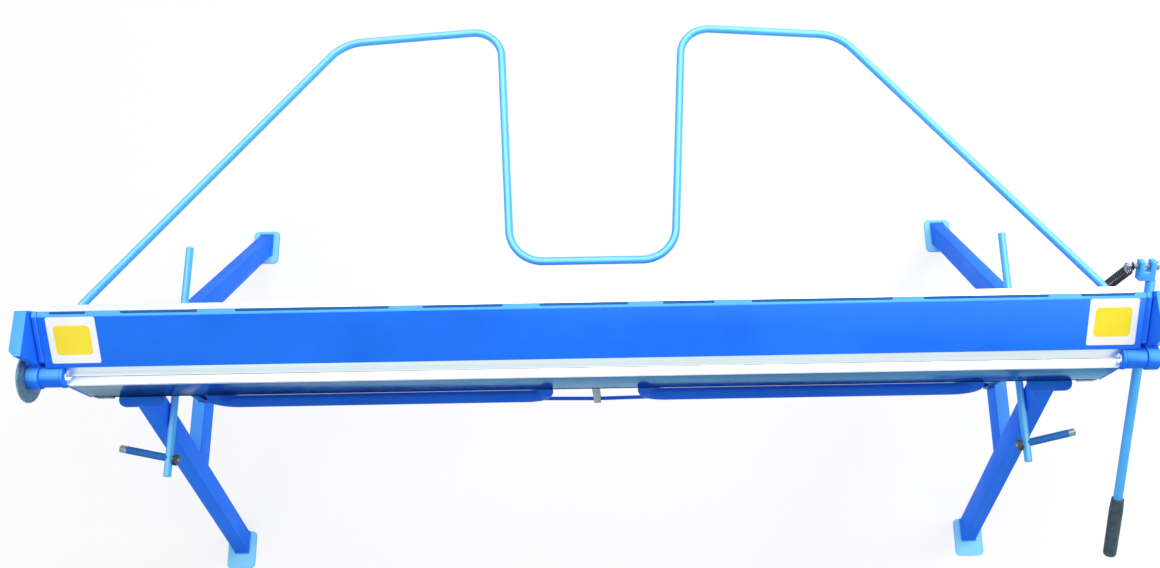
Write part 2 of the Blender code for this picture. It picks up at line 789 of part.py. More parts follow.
def make_lower_beam(body):
    outer = box_outline(BOX_FRONT, BOX_REAR, BOX_BOTTOM, BOX_TOP)
    inner = box_outline(
        BOX_FRONT + BOX_WALL,
        BOX_REAR - BOX_WALL,
        BOX_BOTTOM + BOX_WALL,
        BOX_TOP - BOX_WALL,
    )
    beam = piece("lower_beam", tube(outer, inner, -BOX_HALF, BOX_HALF), BLUE, body)
    drills = []
    for side in (-1, 1):
        for spot in saddle_bolt_spots(side) + cheek_bolt_spots(side):
            reach = SADDLE_T + BOX_WALL + OVERRUN
            drills.append(hole(spot, (0, 0, 1), 0, reach, BOLT_R + RUN))
        for spot in support_bolt_spots(side):
            reach = FLANGE_T + BOX_WALL + OVERRUN
            drills.append(hole(spot, (0, -1, 0), 0, reach, BOLT_R + RUN))
    shaped(beam, body, together(drills))


def make_table(body):
    """The flat plate that the sheet lies on, stepped in where the clamp arms pass."""
    wide_y = BOX_REAR - TABLE_STEP_IN
    strip_x = CHEEK_IN - SEAT
    half = [
        (WORK_HALF, SEAT),
        (WORK_HALF, BOX_FRONT),
        (BOX_HALF, BOX_FRONT),
        (BOX_HALF, wide_y),
        (strip_x, wide_y),
        (strip_x, BOX_REAR + TABLE_STRIP),
    ]
    outline = half + [(-x, y) for x, y in half[::-1]]
    piece("table_plate", prism(outline, TABLE_BOTTOM, BEND_Z, "z"), BARE_STEEL, body)


def strap_screw_spots():
    z = STRAP_TOP_Z - STRAP_SCREW_BELOW
    rows = (STRAP_FRONT + STRAP_SCREW_IN, STRAP_REAR - STRAP_SCREW_IN)
    return [(STRAP_OUT, y, z) for y in rows]


def cheek_outline():
    """The cheek seen from its side, with the round lug that holds the hinge."""
    top = BEND_Z + CHEEK_RISE
    lug_start = math.acos(CHEEK_FRONT / CHEEK_LUG_R)
    lug_end = math.radians(300)
    outline = [(CHEEK_FRONT, top)]
    outline += arc(0, BEND_Z, CHEEK_LUG_R, lug_start, lug_end)
    outline += [
        (CHEEK_TOE, SADDLE_BOTTOM),
        (CHEEK_REAR, SADDLE_BOTTOM),
        (CHEEK_REAR, top - CHEEK_SLANT_Z),
        (CHEEK_REAR - CHEEK_SLANT_Y, top),
    ]
    return outline


def make_cheek(side, body):
    """The end plate that holds both bearings, with a flange under the lower beam."""
    near, far = span(side, CHEEK_IN, CHEEK_OUT)
    name = f"end_cheek_{side_name(side)}"
    cheek = piece(name, prism(cheek_outline(), near, far), BLUE, body, smooth=True)
    flange_near, flange_far = span(side, CHEEK_OUT - CHEEK_T / 2, CHEEK_FLANGE_IN)
    flange_outline = box_outline(CHEEK_TOE, BOX_REAR, SADDLE_BOTTOM, SADDLE_TOP)
    shaped(cheek, body, prism(flange_outline, flange_near, flange_far), "UNION")
    across = (side, 0, 0)
    start = CHEEK_IN - OVERRUN
    end = CHEEK_OUT + OVERRUN
    drills = [
        hole((0, 0, BEND_Z), across, start, end, HINGE_BUSH_R + SEAT, ROUND),
        hole((0, SHAFT_Y, SHAFT_Z), across, start, end, SHAFT_BUSH_R + SEAT, ROUND),
        hole((0, GUIDE_Y, GUIDE_Z), across, start, end, GUIDE_PIN_R + SEAT),
    ]
    if side > 0:
        reach = STRAP_T + SEAT + STRAP_SCREW_DEEP + SCREW_BOTTOM_GAP
        for spot in strap_screw_spots():
            drills.append(hole(spot, (-1, 0, 0), 0, reach, SCREW_R + RUN))
    edge = side * (CHEEK_OUT - CHEEK_CHAMFER)
    past = side * (CHEEK_OUT + CHEEK_CHAMFER)
    wedge = [
        (edge, CHEEK_FRONT - OVERRUN),
        (edge, CHEEK_FRONT),
        (side * CHEEK_OUT, CHEEK_FRONT + CHEEK_CHAMFER),
        (past, CHEEK_FRONT + CHEEK_CHAMFER),
        (past, CHEEK_FRONT - OVERRUN),
    ]
    low = BEND_Z + CHEEK_LUG_R + OVERRUN
    drills.append(prism(wedge, low, BEND_Z + CHEEK_RISE + OVERRUN, "z"))
    shaped(cheek, body, together(drills))
    bolts = [bolt(spot, (0, 0, 1), SADDLE_T, BOX_WALL) for spot in cheek_bolt_spots(side)]
    shaped(cheek, body, together(bolts), "UNION")


def make_bush(name, side, y, z, bore, outside, body):
    near, far = span(side, CHEEK_IN, CHEEK_OUT)
    piece(name, tube(circle(y, z, outside), circle(y, z, bore), near, far), BRONZE, body, True)


def make_bearings(side, body):
    name = side_name(side)
    make_bush(f"hinge_bush_{name}", side, 0, BEND_Z, HINGE_PIN_R + RUN, HINGE_BUSH_R, body)
    make_bush(f"shaft_bush_{name}", side, SHAFT_Y, SHAFT_Z, SHAFT_R + RUN, SHAFT_BUSH_R, body)


def make_guide_pin(side, body):
    """The pin in the cheek that keeps the clamping beam upright as it rises."""
    near, far = span(side, ARM_IN + GUIDE_IN, CHEEK_OUT - SEAT)
    pin = prism(circle(GUIDE_Y, GUIDE_Z, GUIDE_PIN_R, SMALL_ROUND), near, far)
    piece(f"guide_pin_{side_name(side)}", pin, BARE_STEEL, body)


def make_support(body):
    """The bent tube that catches the sheet behind the machine."""
    bent_tube("sheet_support", SUPPORT_ROUTE, SUPPORT_R, PALE_BLUE, body)
    for side in (-1, 1):
        centre = side * SUPPORT_END_X
        outline = box_outline(
            centre - FLANGE_WIDE / 2,
            centre + FLANGE_WIDE / 2,
            FLANGE_TOP - FLANGE_HIGH,
            FLANGE_TOP,
        )
        name = f"support_flange_{side_name(side)}"
        flange = piece(name, prism(outline, FLANGE_IN, FLANGE_OUT, "y"), BLUE, body)
        bolts = [bolt(spot, (0, -1, 0), FLANGE_T, BOX_WALL) for spot in support_bolt_spots(side)]
        shaped(flange, body, together(bolts), "UNION")


def make_scale_disc(body):
    bore = HINGE_PIN_R + DISC_BORE_PLAY
    near, far = span(-1, DISC_IN, DISC_IN + DISC_T)
    disc = tube(circle(0, BEND_Z, DISC_R, ROUND * 2), circle(0, BEND_Z, bore, ROUND * 2), near, far)
    piece("angle_disc", disc, GREY_STEEL, body, smooth=True)


def lever_spot(distance, x=LEVER_X):
    """A place on the lever's line, counted from the shaft towards the grip."""
    return Vector((x, SHAFT_Y, SHAFT_Z)) + LEVER_WAY * distance


def make_strap(body):
    """The plate on the right cheek whose pin holds the spring's lower end."""
    foot = lever_spot(-SPRING_BOLT_BACK)
    top = STRAP_TOP_Z
    low = SPRING_LOW_Z
    outline = [
        (STRAP_FRONT, top),
        (STRAP_FRONT, top - STRAP_DEEP),
        (foot.y - STRAP_FOOT_HALF, low),
    ]
    outline += arc(foot.y, low, STRAP_FOOT_HALF, math.pi, math.tau, math.pi / 6)[1:]
    outline += [(STRAP_REAR, top)]
    strap = piece("spring_strap", prism(outline, STRAP_IN, STRAP_OUT), BLUE, body)
    pin = turned(
        [
            (-STRAP_T / 2, BOLT_R),
            (STRAP_IN - SPRING_BOLT_END, BOLT_R),
            (STRAP_IN - SPRING_BOLT_END, STRAP_PIN_STOP_R),
            (STRAP_IN - SPRING_BOLT_END + STRAP_PIN_STOP_T, STRAP_PIN_STOP_R),
        ],
        (STRAP_IN, foot.y, low),
        (-1, 0, 0),
        SMALL_ROUND,
    )
    screws = [strap_screw(spot) for spot in strap_screw_spots()]
    shaped(strap, body, together([pin] + screws), "UNION")


def spring_route():
    """The counter spring's wire: a hook, a neck, the coil, a neck and a hook."""
    axis = lever_spot(-SPRING_BOLT_BACK)
    coil_low = SPRING_LOW_Z + HOOK_R + HOOK_NECK
    coil_high = axis.z - HOOK_R - HOOK_NECK
    count = COIL_TURNS * COIL_POINTS
    coil = []
    for i in range(count + 1):
        angle = math.tau * i / COIL_POINTS + math.pi
        height = coil_low + (coil_high - coil_low) * i / count
        coil.append((SPRING_X + COIL_R * math.sin(angle), axis.y + COIL_R * math.cos(angle), height))
    upper = []
    lower = []
    for i in range(7):
        angle = math.pi * i / 6
        reach = HOOK_R * math.cos(angle)
        rise = HOOK_R * math.sin(angle)
        upper.append((SPRING_X, axis.y - reach, axis.z + rise))
        lower.append((SPRING_X, axis.y - reach, SPRING_LOW_Z - rise))
    tail = WIRE_R * 2
    upper.append((SPRING_X, axis.y + HOOK_R, axis.z - tail))
    lower.append((SPRING_X, axis.y + HOOK_R, SPRING_LOW_Z + tail))
    return lower[::-1] + coil + upper


def least_self_gap(route, diameter, apart):
    """The least distance between stretches of the wire that aren't neighbours."""
    spots = np.array(route)
    far = np.linalg.norm(spots[:, None] - spots[None], axis=2)
    index = np.arange(len(spots))
    far[np.abs(index[:, None] - index[None]) < apart] = np.inf
    return far.min() - diameter


def make_spring(body):
    route = spring_route()
    gap = least_self_gap(route, WIRE_R * 2, COIL_POINTS - 2)
    print(f"least self-gap of the spring: {gap * 1000:.2f} mm")
    bent_tube("clamp_spring", route, WIRE_R, SPRING_BLACK, body, smoothness=1)


def make_stand(body):
    for side in (-1, 1):
        make_leg_frame(side, body)
        make_cheek(side, body)
        make_bearings(side, body)
        make_guide_pin(side, body)
        make_carrying_bar(side, body)
    make_lower_beam(body)
    make_table(body)
    make_support(body)
    make_scale_disc(body)
    make_strap(body)
    make_spring(body)


def blade_stud_spots():
    return [(share * WORK_HALF, BLADE_STUD_Y, BEND_Z + SEAT) for share in BLADE_STUD_SHARES]


def drawn_in(corners, wall):
    """A bulging outline, given clockwise, with every side moved inwards by a wall."""
    lines = []
    for (y, z), (next_y, next_z) in zip(corners, corners[1:] + corners[:1]):
        length = math.hypot(next_y - y, next_z - z)
        in_y = (next_z - z) / length
        in_z = (y - next_y) / length
        lines.append((in_y, in_z, in_y * y + in_z * z + wall))
    inner = []
    for (a, b, c), (d, e, f) in zip(lines[-1:] + lines[:-1], lines):
        share = a * e - b * d
        inner.append(((c * e - b * f) / share, (a * f - c * d) / share))
    return inner


def beam_outline(wall):
    """The clamping beam's section, drawn in by a wall."""
    corners = [
        (FOOT_TURN, BEAM_BOTTOM),
        (PANEL_FOOT, BEAM_BOTTOM + PANEL_FOOT_UP),
        (BEAM_CREST, BEAM_TOP),
        (BEAM_REAR, BEAM_TOP),
        (BEAM_REAR, BEAM_BOTTOM),
    ]
    return drawn_in(corners, wall)


def make_clamp_beam(body):
    shell = tube(beam_outline(0), beam_outline(BEAM_WALL), -BEAM_HALF, BEAM_HALF)
    beam = piece("clamp_beam", shell, BLUE, body)
    notch = box_outline(BEAM_REAR - NOTCH_DEEP, BEAM_REAR + OVERRUN,
                        BEAM_TOP - NOTCH_HIGH, BEAM_TOP + OVERRUN)
    cutters = []
    for start, end in NOTCH_SPAN_SHARES:
        cutters.append(prism(notch, start * BEAM_HALF, end * BEAM_HALF))
    for spot in blade_stud_spots():
        reach = BLADE_HIGH + SEAT + BEAM_WALL + OVERRUN
        cutters.append(hole(spot, (0, 0, 1), BLADE_HIGH - OVERRUN, reach, SCREW_R + RUN))
    shaped(beam, body, together(cutters))


def make_clamp_blade(body):
    low = BEND_Z + SEAT
    outline = [(BLADE_SETBACK, low), (BLADE_DEEP, low), (BLADE_DEEP, low + BLADE_HIGH),
               (BLADE_NOSE, low + BLADE_HIGH)]
    blade = piece("clamp_blade", prism(outline, -WORK_HALF, WORK_HALF), BARE_STEEL, body)
    studs = [blade_stud(spot) for spot in blade_stud_spots()]
    shaped(blade, body, together(studs), "UNION")


def make_clamp_arm(side, body):
    """The clamping beam's end plate, with the window that an eccentric lifts."""
    front, rear, low, high = ARM_WINDOW
    outline = [
        (ARM_FRONT, BEAM_BOTTOM),
        (ARM_FRONT, ARM_FRONT_TOP),
        (BEAM_CREST, BEAM_TOP),
        (BEAM_REAR, BEAM_TOP),
        (BEAM_REAR, BEAM_BOTTOM),
        (ARM_NECK_REAR, BEAM_BOTTOM),
        (ARM_NECK_REAR, high + ARM_RIM),
        (rear + ARM_RIM, high + ARM_RIM),
        (rear + ARM_RIM, low - ARM_RIM),
        (front - ARM_RIM, low - ARM_RIM),
        (front - ARM_RIM, high + ARM_RIM),
        (ARM_NECK_FRONT, high + ARM_RIM),
        (ARM_NECK_FRONT, BEAM_BOTTOM),
    ]
    near, far = span(side, ARM_IN, ARM_OUT)
    arm = piece(f"clamp_arm_{side_name(side)}", prism(outline, near, far), BLUE, body)
    near, far = span(side, ARM_IN - OVERRUN, ARM_OUT + OVERRUN)
    slot = capsule(GUIDE_Y, GUIDE_Z - LIFT - GUIDE_PLAY, GUIDE_Z + GUIDE_PLAY,
                   GUIDE_PIN_R + GUIDE_PLAY)
    cutters = [prism(box_outline(*ARM_WINDOW), near, far), prism(slot, near, far)]
    shaped(arm, body, together(cutters))


def make_clamp(body):
    make_clamp_beam(body)
    make_clamp_blade(body)
    for side in (-1, 1):
        make_clamp_arm(side, body)


def make_eccentric(side, body):
    near, far = span(side, ARM_IN, ARM_OUT)
    disc = tube(
        circle(ECCENTRIC_Y, ECCENTRIC_Z, ECCENTRIC_R, ROUND),
        circle(SHAFT_Y, SHAFT_Z, SHAFT_R + SEAT, ROUND),
        near,
        far,
    )
    piece(f"eccentric_{side_name(side)}", disc, GREY_STEEL, body, smooth=True)


def make_lever(body):
    """The lever arm with its hub, grip and fork."""
    arm = turned([(-LEVER_REAR, LEVER_R), (LEVER_LONG, LEVER_R)], lever_spot(0), LEVER_WAY, ROUND)
    lever = piece("clamp_lever", arm, PALE_BLUE, body, smooth=True)
    hub_in = LEVER_X - LEVER_R
    hub_out = LEVER_X + LEVER_R
    hub = prism(circle(SHAFT_Y, SHAFT_Z, HUB_R), hub_in, hub_out)
    shaped(lever, body, hub, "UNION")
    bore = circle(SHAFT_Y, SHAFT_Z, SHAFT_R + SEAT)
    shaped(lever, body, prism(bore, hub_in - OVERRUN, hub_out + OVERRUN))
    bore_r = LEVER_R + SEAT
    floor = LEVER_LONG + SEAT
    grip = [
        (floor, SEAT),
        (floor, bore_r),
        (GRIP_FROM, bore_r),
        (GRIP_FROM, GRIP_R - GRIP_TAPER),
        (GRIP_FROM + GRIP_END_ROUND, GRIP_R),
        (GRIP_END - GRIP_END_ROUND, GRIP_END_R),
        (GRIP_END, GRIP_TIP_R),
    ]
    piece("lever_grip", turned(grip, lever_spot(0), LEVER_WAY, ROUND), DARK_GRIP, body, smooth=True)
    make_fork(body)


def make_fork(body):
    """The forked block behind the hub, and the bolt through it that pulls the spring."""
    start = LEVER_REAR + SEAT
    end = start + FORK_LONG
    slot_from = end - FORK_SLOT_LONG
    outline = [
        (FORK_OUT_X, start),
        (FORK_OUT_X, end),
        (FORK_X + FORK_SLOT / 2, end),
        (FORK_X + FORK_SLOT / 2, slot_from),
        (FORK_X - FORK_SLOT / 2, slot_from),
        (FORK_X - FORK_SLOT / 2, end),
        (FORK_IN_X, end),
        (FORK_IN_X, start),
    ]
    mesh = prism(outline, -FORK_DEEP / 2, FORK_DEEP / 2, "z")
    for vert in mesh.verts:
        x, back, across = vert.co
        vert.co = lever_spot(-back, x) + LEVER_ACROSS * across
    bmesh.ops.recalc_face_normals(mesh, faces=mesh.faces)
    fork = piece("lever_fork", mesh, PALE_BLUE, body)
    spot = lever_spot(-SPRING_BOLT_BACK, 0)
    near = FORK_IN_X - OVERRUN
    far = FORK_OUT_X + OVERRUN
    shaped(fork, body, hole(spot, (1, 0, 0), near, far, BOLT_R + RUN))
    head = FORK_OUT_X + SEAT
    stations = [
        (SPRING_BOLT_END - SPRING_BOLT_STOP_T, SPRING_BOLT_STOP_R),
        (SPRING_BOLT_END, SPRING_BOLT_STOP_R),
        (SPRING_BOLT_END, BOLT_R),
        (head, BOLT_R),
        (head, SPRING_BOLT_HEAD_R),
        (head + SPRING_BOLT_HEAD_T, SPRING_BOLT_HEAD_R),
    ]
    piece("spring_bolt", turned(stations, spot, (1, 0, 0), SMALL_ROUND), GREY_STEEL, body)


def make_clamp_drive(body):
    reach = LEVER_X + LEVER_R
    shaft = prism(circle(SHAFT_Y, SHAFT_Z, SHAFT_R), -CHEEK_OUT, reach)
    piece("cross_shaft", shaft, BARE_STEEL, body, smooth=True)
    for side in (-1, 1):
        make_eccentric(side, body)
    make_lever(body)


def rod_spot_z(x):
    """The tension rod's height at a distance from the middle."""
    return ROD_Z + ROD_RISE * (abs(x) - ROD_FLAT) / (LUG_IN - ROD_FLAT)


def make_fold_beam(body):
    """The channel that swings up, with its corner tabs and the rod's lugs."""
    rear = -FOLD_BACK
    web = FOLD_FRONT + FOLD_WALL
    outline = [
        (FOLD_FRONT, FOLD_BOTTOM),
        (rear, FOLD_BOTTOM),
        (rear, FOLD_BOTTOM + FOLD_WALL),
        (web, FOLD_BOTTOM + FOLD_WALL),
        (web, FOLD_TOP - FOLD_WALL),
        (rear, FOLD_TOP - FOLD_WALL),
        (rear, FOLD_TOP),
        (FOLD_FRONT, FOLD_TOP),
    ]
    beam = piece("fold_beam", prism(outline, -WORK_HALF, WORK_HALF), BARE_STEEL, body)
    inset = FOLD_BACK
    root = FOLD_BOTTOM + FOLD_WALL / 2
    extra = []
    drills = []
    for side in (-1, 1):
        tab = box_outline(FOLD_FRONT + inset, rear - inset, FOLD_BOTTOM - TAB_DROP, root)
        tab_out = WORK_HALF - TAB_FROM_END
        extra.append(prism(tab, *span(side, tab_out - TAB_WIDE, tab_out)))
        low = rod_spot_z(LUG_IN) - LUG_EDGE
        lug = box_outline(FOLD_FRONT + inset, rear - inset, low, root)
        extra.append(prism(lug, *span(side, LUG_IN, LUG_IN + LUG_T)))
        spot, way = rod_line(side)
        drills.append(hole(spot, way, -LUG_T, LUG_T * 2, ROD_R + RUN * 2))
    shaped(beam, body, together(extra), "UNION")
    shaped(beam, body, together(drills))


def rod_line(side):
    """Where the rod enters a lug, and the direction that it runs in."""
    start = Vector((side * ROD_FLAT, FOLD_MID, ROD_Z))
    spot = Vector((side * LUG_IN, FOLD_MID, rod_spot_z(LUG_IN)))
    return spot, (spot - start).normalized()


def make_rod(body):
    """The tension rod, level in the post and headed behind each lug."""
    seat = (LUG_T + ROD_HEAD_R * ROD_RISE / LUG_IN + SEAT * 2)
    route = []
    swell = []
    for side in (-1, 1):
        spot, way = rod_line(side)
        half = [
            (Vector((side * ROD_FLAT, FOLD_MID, ROD_Z)), 1),
            (spot, 1),
            (spot + way * seat, 1),
            (spot + way * (seat + SEAT), ROD_HEAD_R / ROD_R),
            (spot + way * (seat + ROD_HEAD_LONG), ROD_HEAD_R / ROD_R),
        ]
        if side < 0:
            half = half[::-1]
        route += [at for at, _ in half]
        swell += [size for _, size in half]
    bent_tube("truss_rod", route, ROD_R, BLUE, body, smoothness=2, swell=swell)


def make_handle(side, body):
    top = FOLD_BOTTOM - SEAT
    inner = HANDLE_IN + HANDLE_R
    outer = HANDLE_OUT - HANDLE_R
    corners = [
        (side * inner, HANDLE_Y, top, 0),
        (side * inner, HANDLE_Y, HANDLE_Z, HANDLE_BEND_R),
        (side * outer, HANDLE_Y, HANDLE_Z, HANDLE_BEND_R),
        (side * outer, HANDLE_Y, top, 0),
    ]
    name = f"grab_handle_{side_name(side)}"
    bent_tube(name, rounded_route(corners), HANDLE_R, BLUE, body, smoothness=4)


def fold_end_outline():
    """The folding beam's end plate: a round about the hinge, and a strip down the beam."""
    radius = FOLD_BOSS_R + FOLD_COLLAR
    rear = -FOLD_BACK
    start = -math.acos(rear / radius)
    end = math.tau - math.acos(FOLD_FRONT / radius)
    outline = arc(0, BEND_Z, radius, start, end)
    return outline + [(FOLD_FRONT, FOLD_BOTTOM), (rear, FOLD_BOTTOM)]


def make_fold_end(side, body):
    name = side_name(side)
    near, far = span(side, FOLD_END_IN, FOLD_END_IN + FOLD_END_T)
    plate = piece(f"fold_end_{name}", prism(fold_end_outline(), near, far), PALE_BLUE, body, True)
    near, far = span(side, FOLD_END_IN + FOLD_END_T / 2, BOSS_OUT)
    boss = prism(circle(0, BEND_Z, FOLD_BOSS_R), near, far)
    shaped(plate, body, boss, "UNION")
    near, far = span(side, FOLD_END_IN - OVERRUN, BOSS_OUT + OVERRUN)
    shaped(plate, body, prism(circle(0, BEND_Z, HINGE_PIN_R + SEAT), near, far))
    out = CHEEK_OUT - SIDE_PLAY if side > 0 else END_REACH
    near, far = span(side, FOLD_END_IN, out)
    pin = prism(circle(0, BEND_Z, HINGE_PIN_R), near, far)
    piece(f"hinge_pin_{name}", pin, BARE_STEEL, body, smooth=True)


def make_pointer(body):
    """The pointer on the left hinge pin, pointing to the front, and the nut that holds it."""
    root = math.asin(POINTER_ROOT_HALF / POINTER_HUB_R)
    outline = arc(0, BEND_Z, POINTER_HUB_R, root - math.pi, math.pi - root)
    outline += [
        (-POINTER_REACH, BEND_Z + POINTER_TIP_HALF),
        (-POINTER_REACH, BEND_Z - POINTER_TIP_HALF),
    ]
    near, far = span(-1, POINTER_IN, POINTER_IN + POINTER_T)
    pointer = piece("angle_pointer", prism(outline, near, far), GREY_STEEL, body)
    near, far = span(-1, POINTER_IN - OVERRUN, POINTER_IN + POINTER_T + OVERRUN)
    shaped(pointer, body, prism(circle(0, BEND_Z, HINGE_PIN_R + SEAT), near, far))
    near, far = span(-1, POINTER_NUT_IN, POINTER_NUT_IN + POINTER_NUT_T)
    nut = piece("pointer_nut", prism(circle(0, BEND_Z, POINTER_NUT_R, HEX), near, far),
                DARK_STEEL, body)
    near, far = span(-1, POINTER_NUT_IN - OVERRUN, POINTER_NUT_IN + POINTER_NUT_T + OVERRUN)
    shaped(nut, body, prism(circle(0, BEND_Z, HINGE_PIN_R + SEAT), near, far))


def make_fold(body):
    make_fold_beam(body)
    blade = box_outline(FOLD_FRONT, -FOLD_BACK, BEND_Z - FOLD_BLADE_HIGH, BEND_Z)
    piece("fold_blade", prism(blade, -WORK_HALF, WORK_HALF), BARE_STEEL, body)
    post_outline = box_outline(
        FOLD_MID - POST_WIDE / 2,
        FOLD_MID + POST_WIDE / 2,
        POST_BOTTOM,
        FOLD_BOTTOM - SEAT,
    )
    post = prism(post_outline, -POST_WIDE / 2, POST_WIDE / 2)
    post = piece("truss_post", post, GREY_STEEL, body)
    drill = hole((0, FOLD_MID, ROD_Z), (1, 0, 0), -POST_WIDE, POST_WIDE, ROD_R + RUN * 2)
    shaped(post, body, drill)
    make_rod(body)
    for side in (-1, 1):
        make_fold_end(side, body)
        make_handle(side, body)
    make_pointer(body)


def clear_scene():
    for thing in list(bpy.data.objects):
        bpy.data.objects.remove(thing, do_unlink=True)


def main():
    clear_scene()
    make_stand(pivot("stand", 0, 0))
    make_clamp(pivot("clamp_lift", SHAFT_Y, SHAFT_Z))
    make_clamp_drive(pivot("lever_turn", SHAFT_Y, SHAFT_Z))
    make_fold(pivot("fold_swing", 0, BEND_Z))


main()
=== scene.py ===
"""The looks of a manual sheet metal brake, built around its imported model."""

import json
import math

import bmesh
import bpy
from mathutils import Matrix, Vector


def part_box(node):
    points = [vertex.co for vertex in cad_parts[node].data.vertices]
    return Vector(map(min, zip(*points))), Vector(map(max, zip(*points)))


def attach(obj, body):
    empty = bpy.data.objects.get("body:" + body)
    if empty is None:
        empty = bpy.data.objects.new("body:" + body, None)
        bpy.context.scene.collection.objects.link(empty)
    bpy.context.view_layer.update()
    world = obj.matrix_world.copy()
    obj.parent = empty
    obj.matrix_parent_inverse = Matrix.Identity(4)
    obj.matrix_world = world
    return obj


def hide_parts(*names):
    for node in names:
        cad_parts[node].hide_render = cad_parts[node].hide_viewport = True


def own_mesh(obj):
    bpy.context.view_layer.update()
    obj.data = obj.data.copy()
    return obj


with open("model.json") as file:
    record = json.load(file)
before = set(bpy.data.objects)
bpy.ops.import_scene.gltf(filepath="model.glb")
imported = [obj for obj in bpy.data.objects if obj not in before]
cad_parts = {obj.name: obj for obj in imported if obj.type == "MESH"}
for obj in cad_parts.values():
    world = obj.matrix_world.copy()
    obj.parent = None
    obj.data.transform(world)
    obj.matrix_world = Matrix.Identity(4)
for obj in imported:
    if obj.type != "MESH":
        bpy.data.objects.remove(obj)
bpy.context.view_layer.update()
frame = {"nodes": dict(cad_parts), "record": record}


def middle(node):
    """The middle of a node's box."""
    low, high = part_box(node)
    return (low + high) / 2


# Places read from the frame
BEND_Y = middle("hinge_pin_right").y
BEND_Z = middle("hinge_pin_right").z
SHAFT = middle("cross_shaft")
SIDES = (("left", -1), ("right", 1))

# Round bars, half thickness
SUPPORT_R = 0.008
HANDLE_R = 0.0125
ROD_R = 0.004
LEVER_R = 0.0095
BAR_R = 0.008
PEG_R = 0.008
STUD_R = 0.004
PIN_R = 0.009
SHAFT_R = 0.010
WIRE_R = 0.0015
COIL_R = 0.0095

# Rear sheet support: half of its route, from one end to the middle
SUPPORT_ROUTE = (
    (1.021, 0.1316, 0),
    (1.021, 0.149, 0.014),
    (0.529, 0.722, 0.100),
    (0.194, 0.747, 0.060),
    (0.166, 0.2245, 0.070),
)

# Grab handles and tension rod
HANDLE_BEND_R = 0.044
ROD_FLAT = 0.010
ROD_LUG_X = 0.812
ROD_LUG_LONG = 0.0146
ROD_RISE = 0.068
ROD_HEAD_R = 0.008
ROD_HEAD_LONG = 0.007
ROD_UP_POST = 0.014

# Lever, from the shaft's axis
LEVER_SLOPE = math.radians(38.4)
LEVER_REAR = 0.085
LEVER_LONG = 0.547
LEVER_OFF_SHAFT = 0.0095
HUB_R = 0.018
GRIP_FROM = 0.415
GRIP_LONG = 0.140
GRIP_R = 0.0145
GRIP_THIN_R = 0.013
GRIP_TIP_R = 0.0115
GRIP_EDGE = 0.004
GRIP_RIBS = 44
GRIP_RIB_DEEP = 0.0005

# Carrying bars and pegs
PEG_TILT = math.radians(12.0)
BARE_TIP = 0.015
TIP_EDGE = 0.001

# Counter spring
COIL_TURNS = 40
COIL_STEPS = 16
HOOK_R = 0.0072
HOOK_NECK = 0.014

# Label plates on the sloped panel
PLATE_SIZE = 0.094
PLATE_HIGH = 0.095
PLATE_SHIFT = 0.0045
PLATE_T = 0.0008
PLATE_CORNER_R = 0.004
PLATE_LEFT_X = -0.993
PLATE_RIGHT_X = 0.996
FIELD_WIDE = 0.070
FIELD_HIGH = 0.060
FIELD_T = 0.0002
FIELD_CORNER_R = 0.008
PANEL_FOOT_Y = 0.012
PANEL_FOOT_Z = 0.8705
PANEL_SLOPE = math.radians(36.2)
PANEL_LONG = 0.106

# Painted shadow: slim dark bars in the openings of the folded top edge stand in for the shade inside them,
# as shares of the beam's half length
NOTCH_SHADOW_SHARES = (
    (-0.977, -0.913),
    (-0.849, -0.711),
    (-0.642, -0.366),
    (-0.304, -0.161),
    (-0.093, 0.065),
    (0.129, 0.221),
    (0.289, 0.542),
    (0.599, 0.823),
    (0.883, 0.978),
)
NOTCH_SHADOW_FRONT_Y = 0.1031
NOTCH_SHADOW_REAR_Y = 0.1084
NOTCH_SHADOW_LOW_Z = 0.9235
NOTCH_SHADOW_HIGH_Z = 0.9318
NOTCH_SHADOW_EDGE = 0.0009

# Angle scale
TICK_STEP = math.radians(5.0)
TICK_LONG_EVERY = 3
TICK_OUT_R = 0.0485
TICK_LONG = 0.007
TICK_SHORT = 0.004
TICK_WIDE = 0.0006
TICK_T = 0.0002
NUMBER_R = 0.0365
NUMBER_SIZE = 0.0065
NUMBERS = (0, 30, 60, 90, 120)

# Mesh work
MERGE = 0.00002
FLAT_ANGLE = math.radians(0.4)
EDGE_ANGLE = math.radians(32.0)
SMOOTH_ANGLE = math.radians(38.0)
ARC_STEP = math.radians(5.0)
ROUND = 40
FINE_ROUND = 20
WELD_R = 0.0022
WELD_RIPPLE = 0.12
WELD_STEP = 0.0016


# Materials
def colour(red, green, blue):
    return (red, green, blue, 1.0)


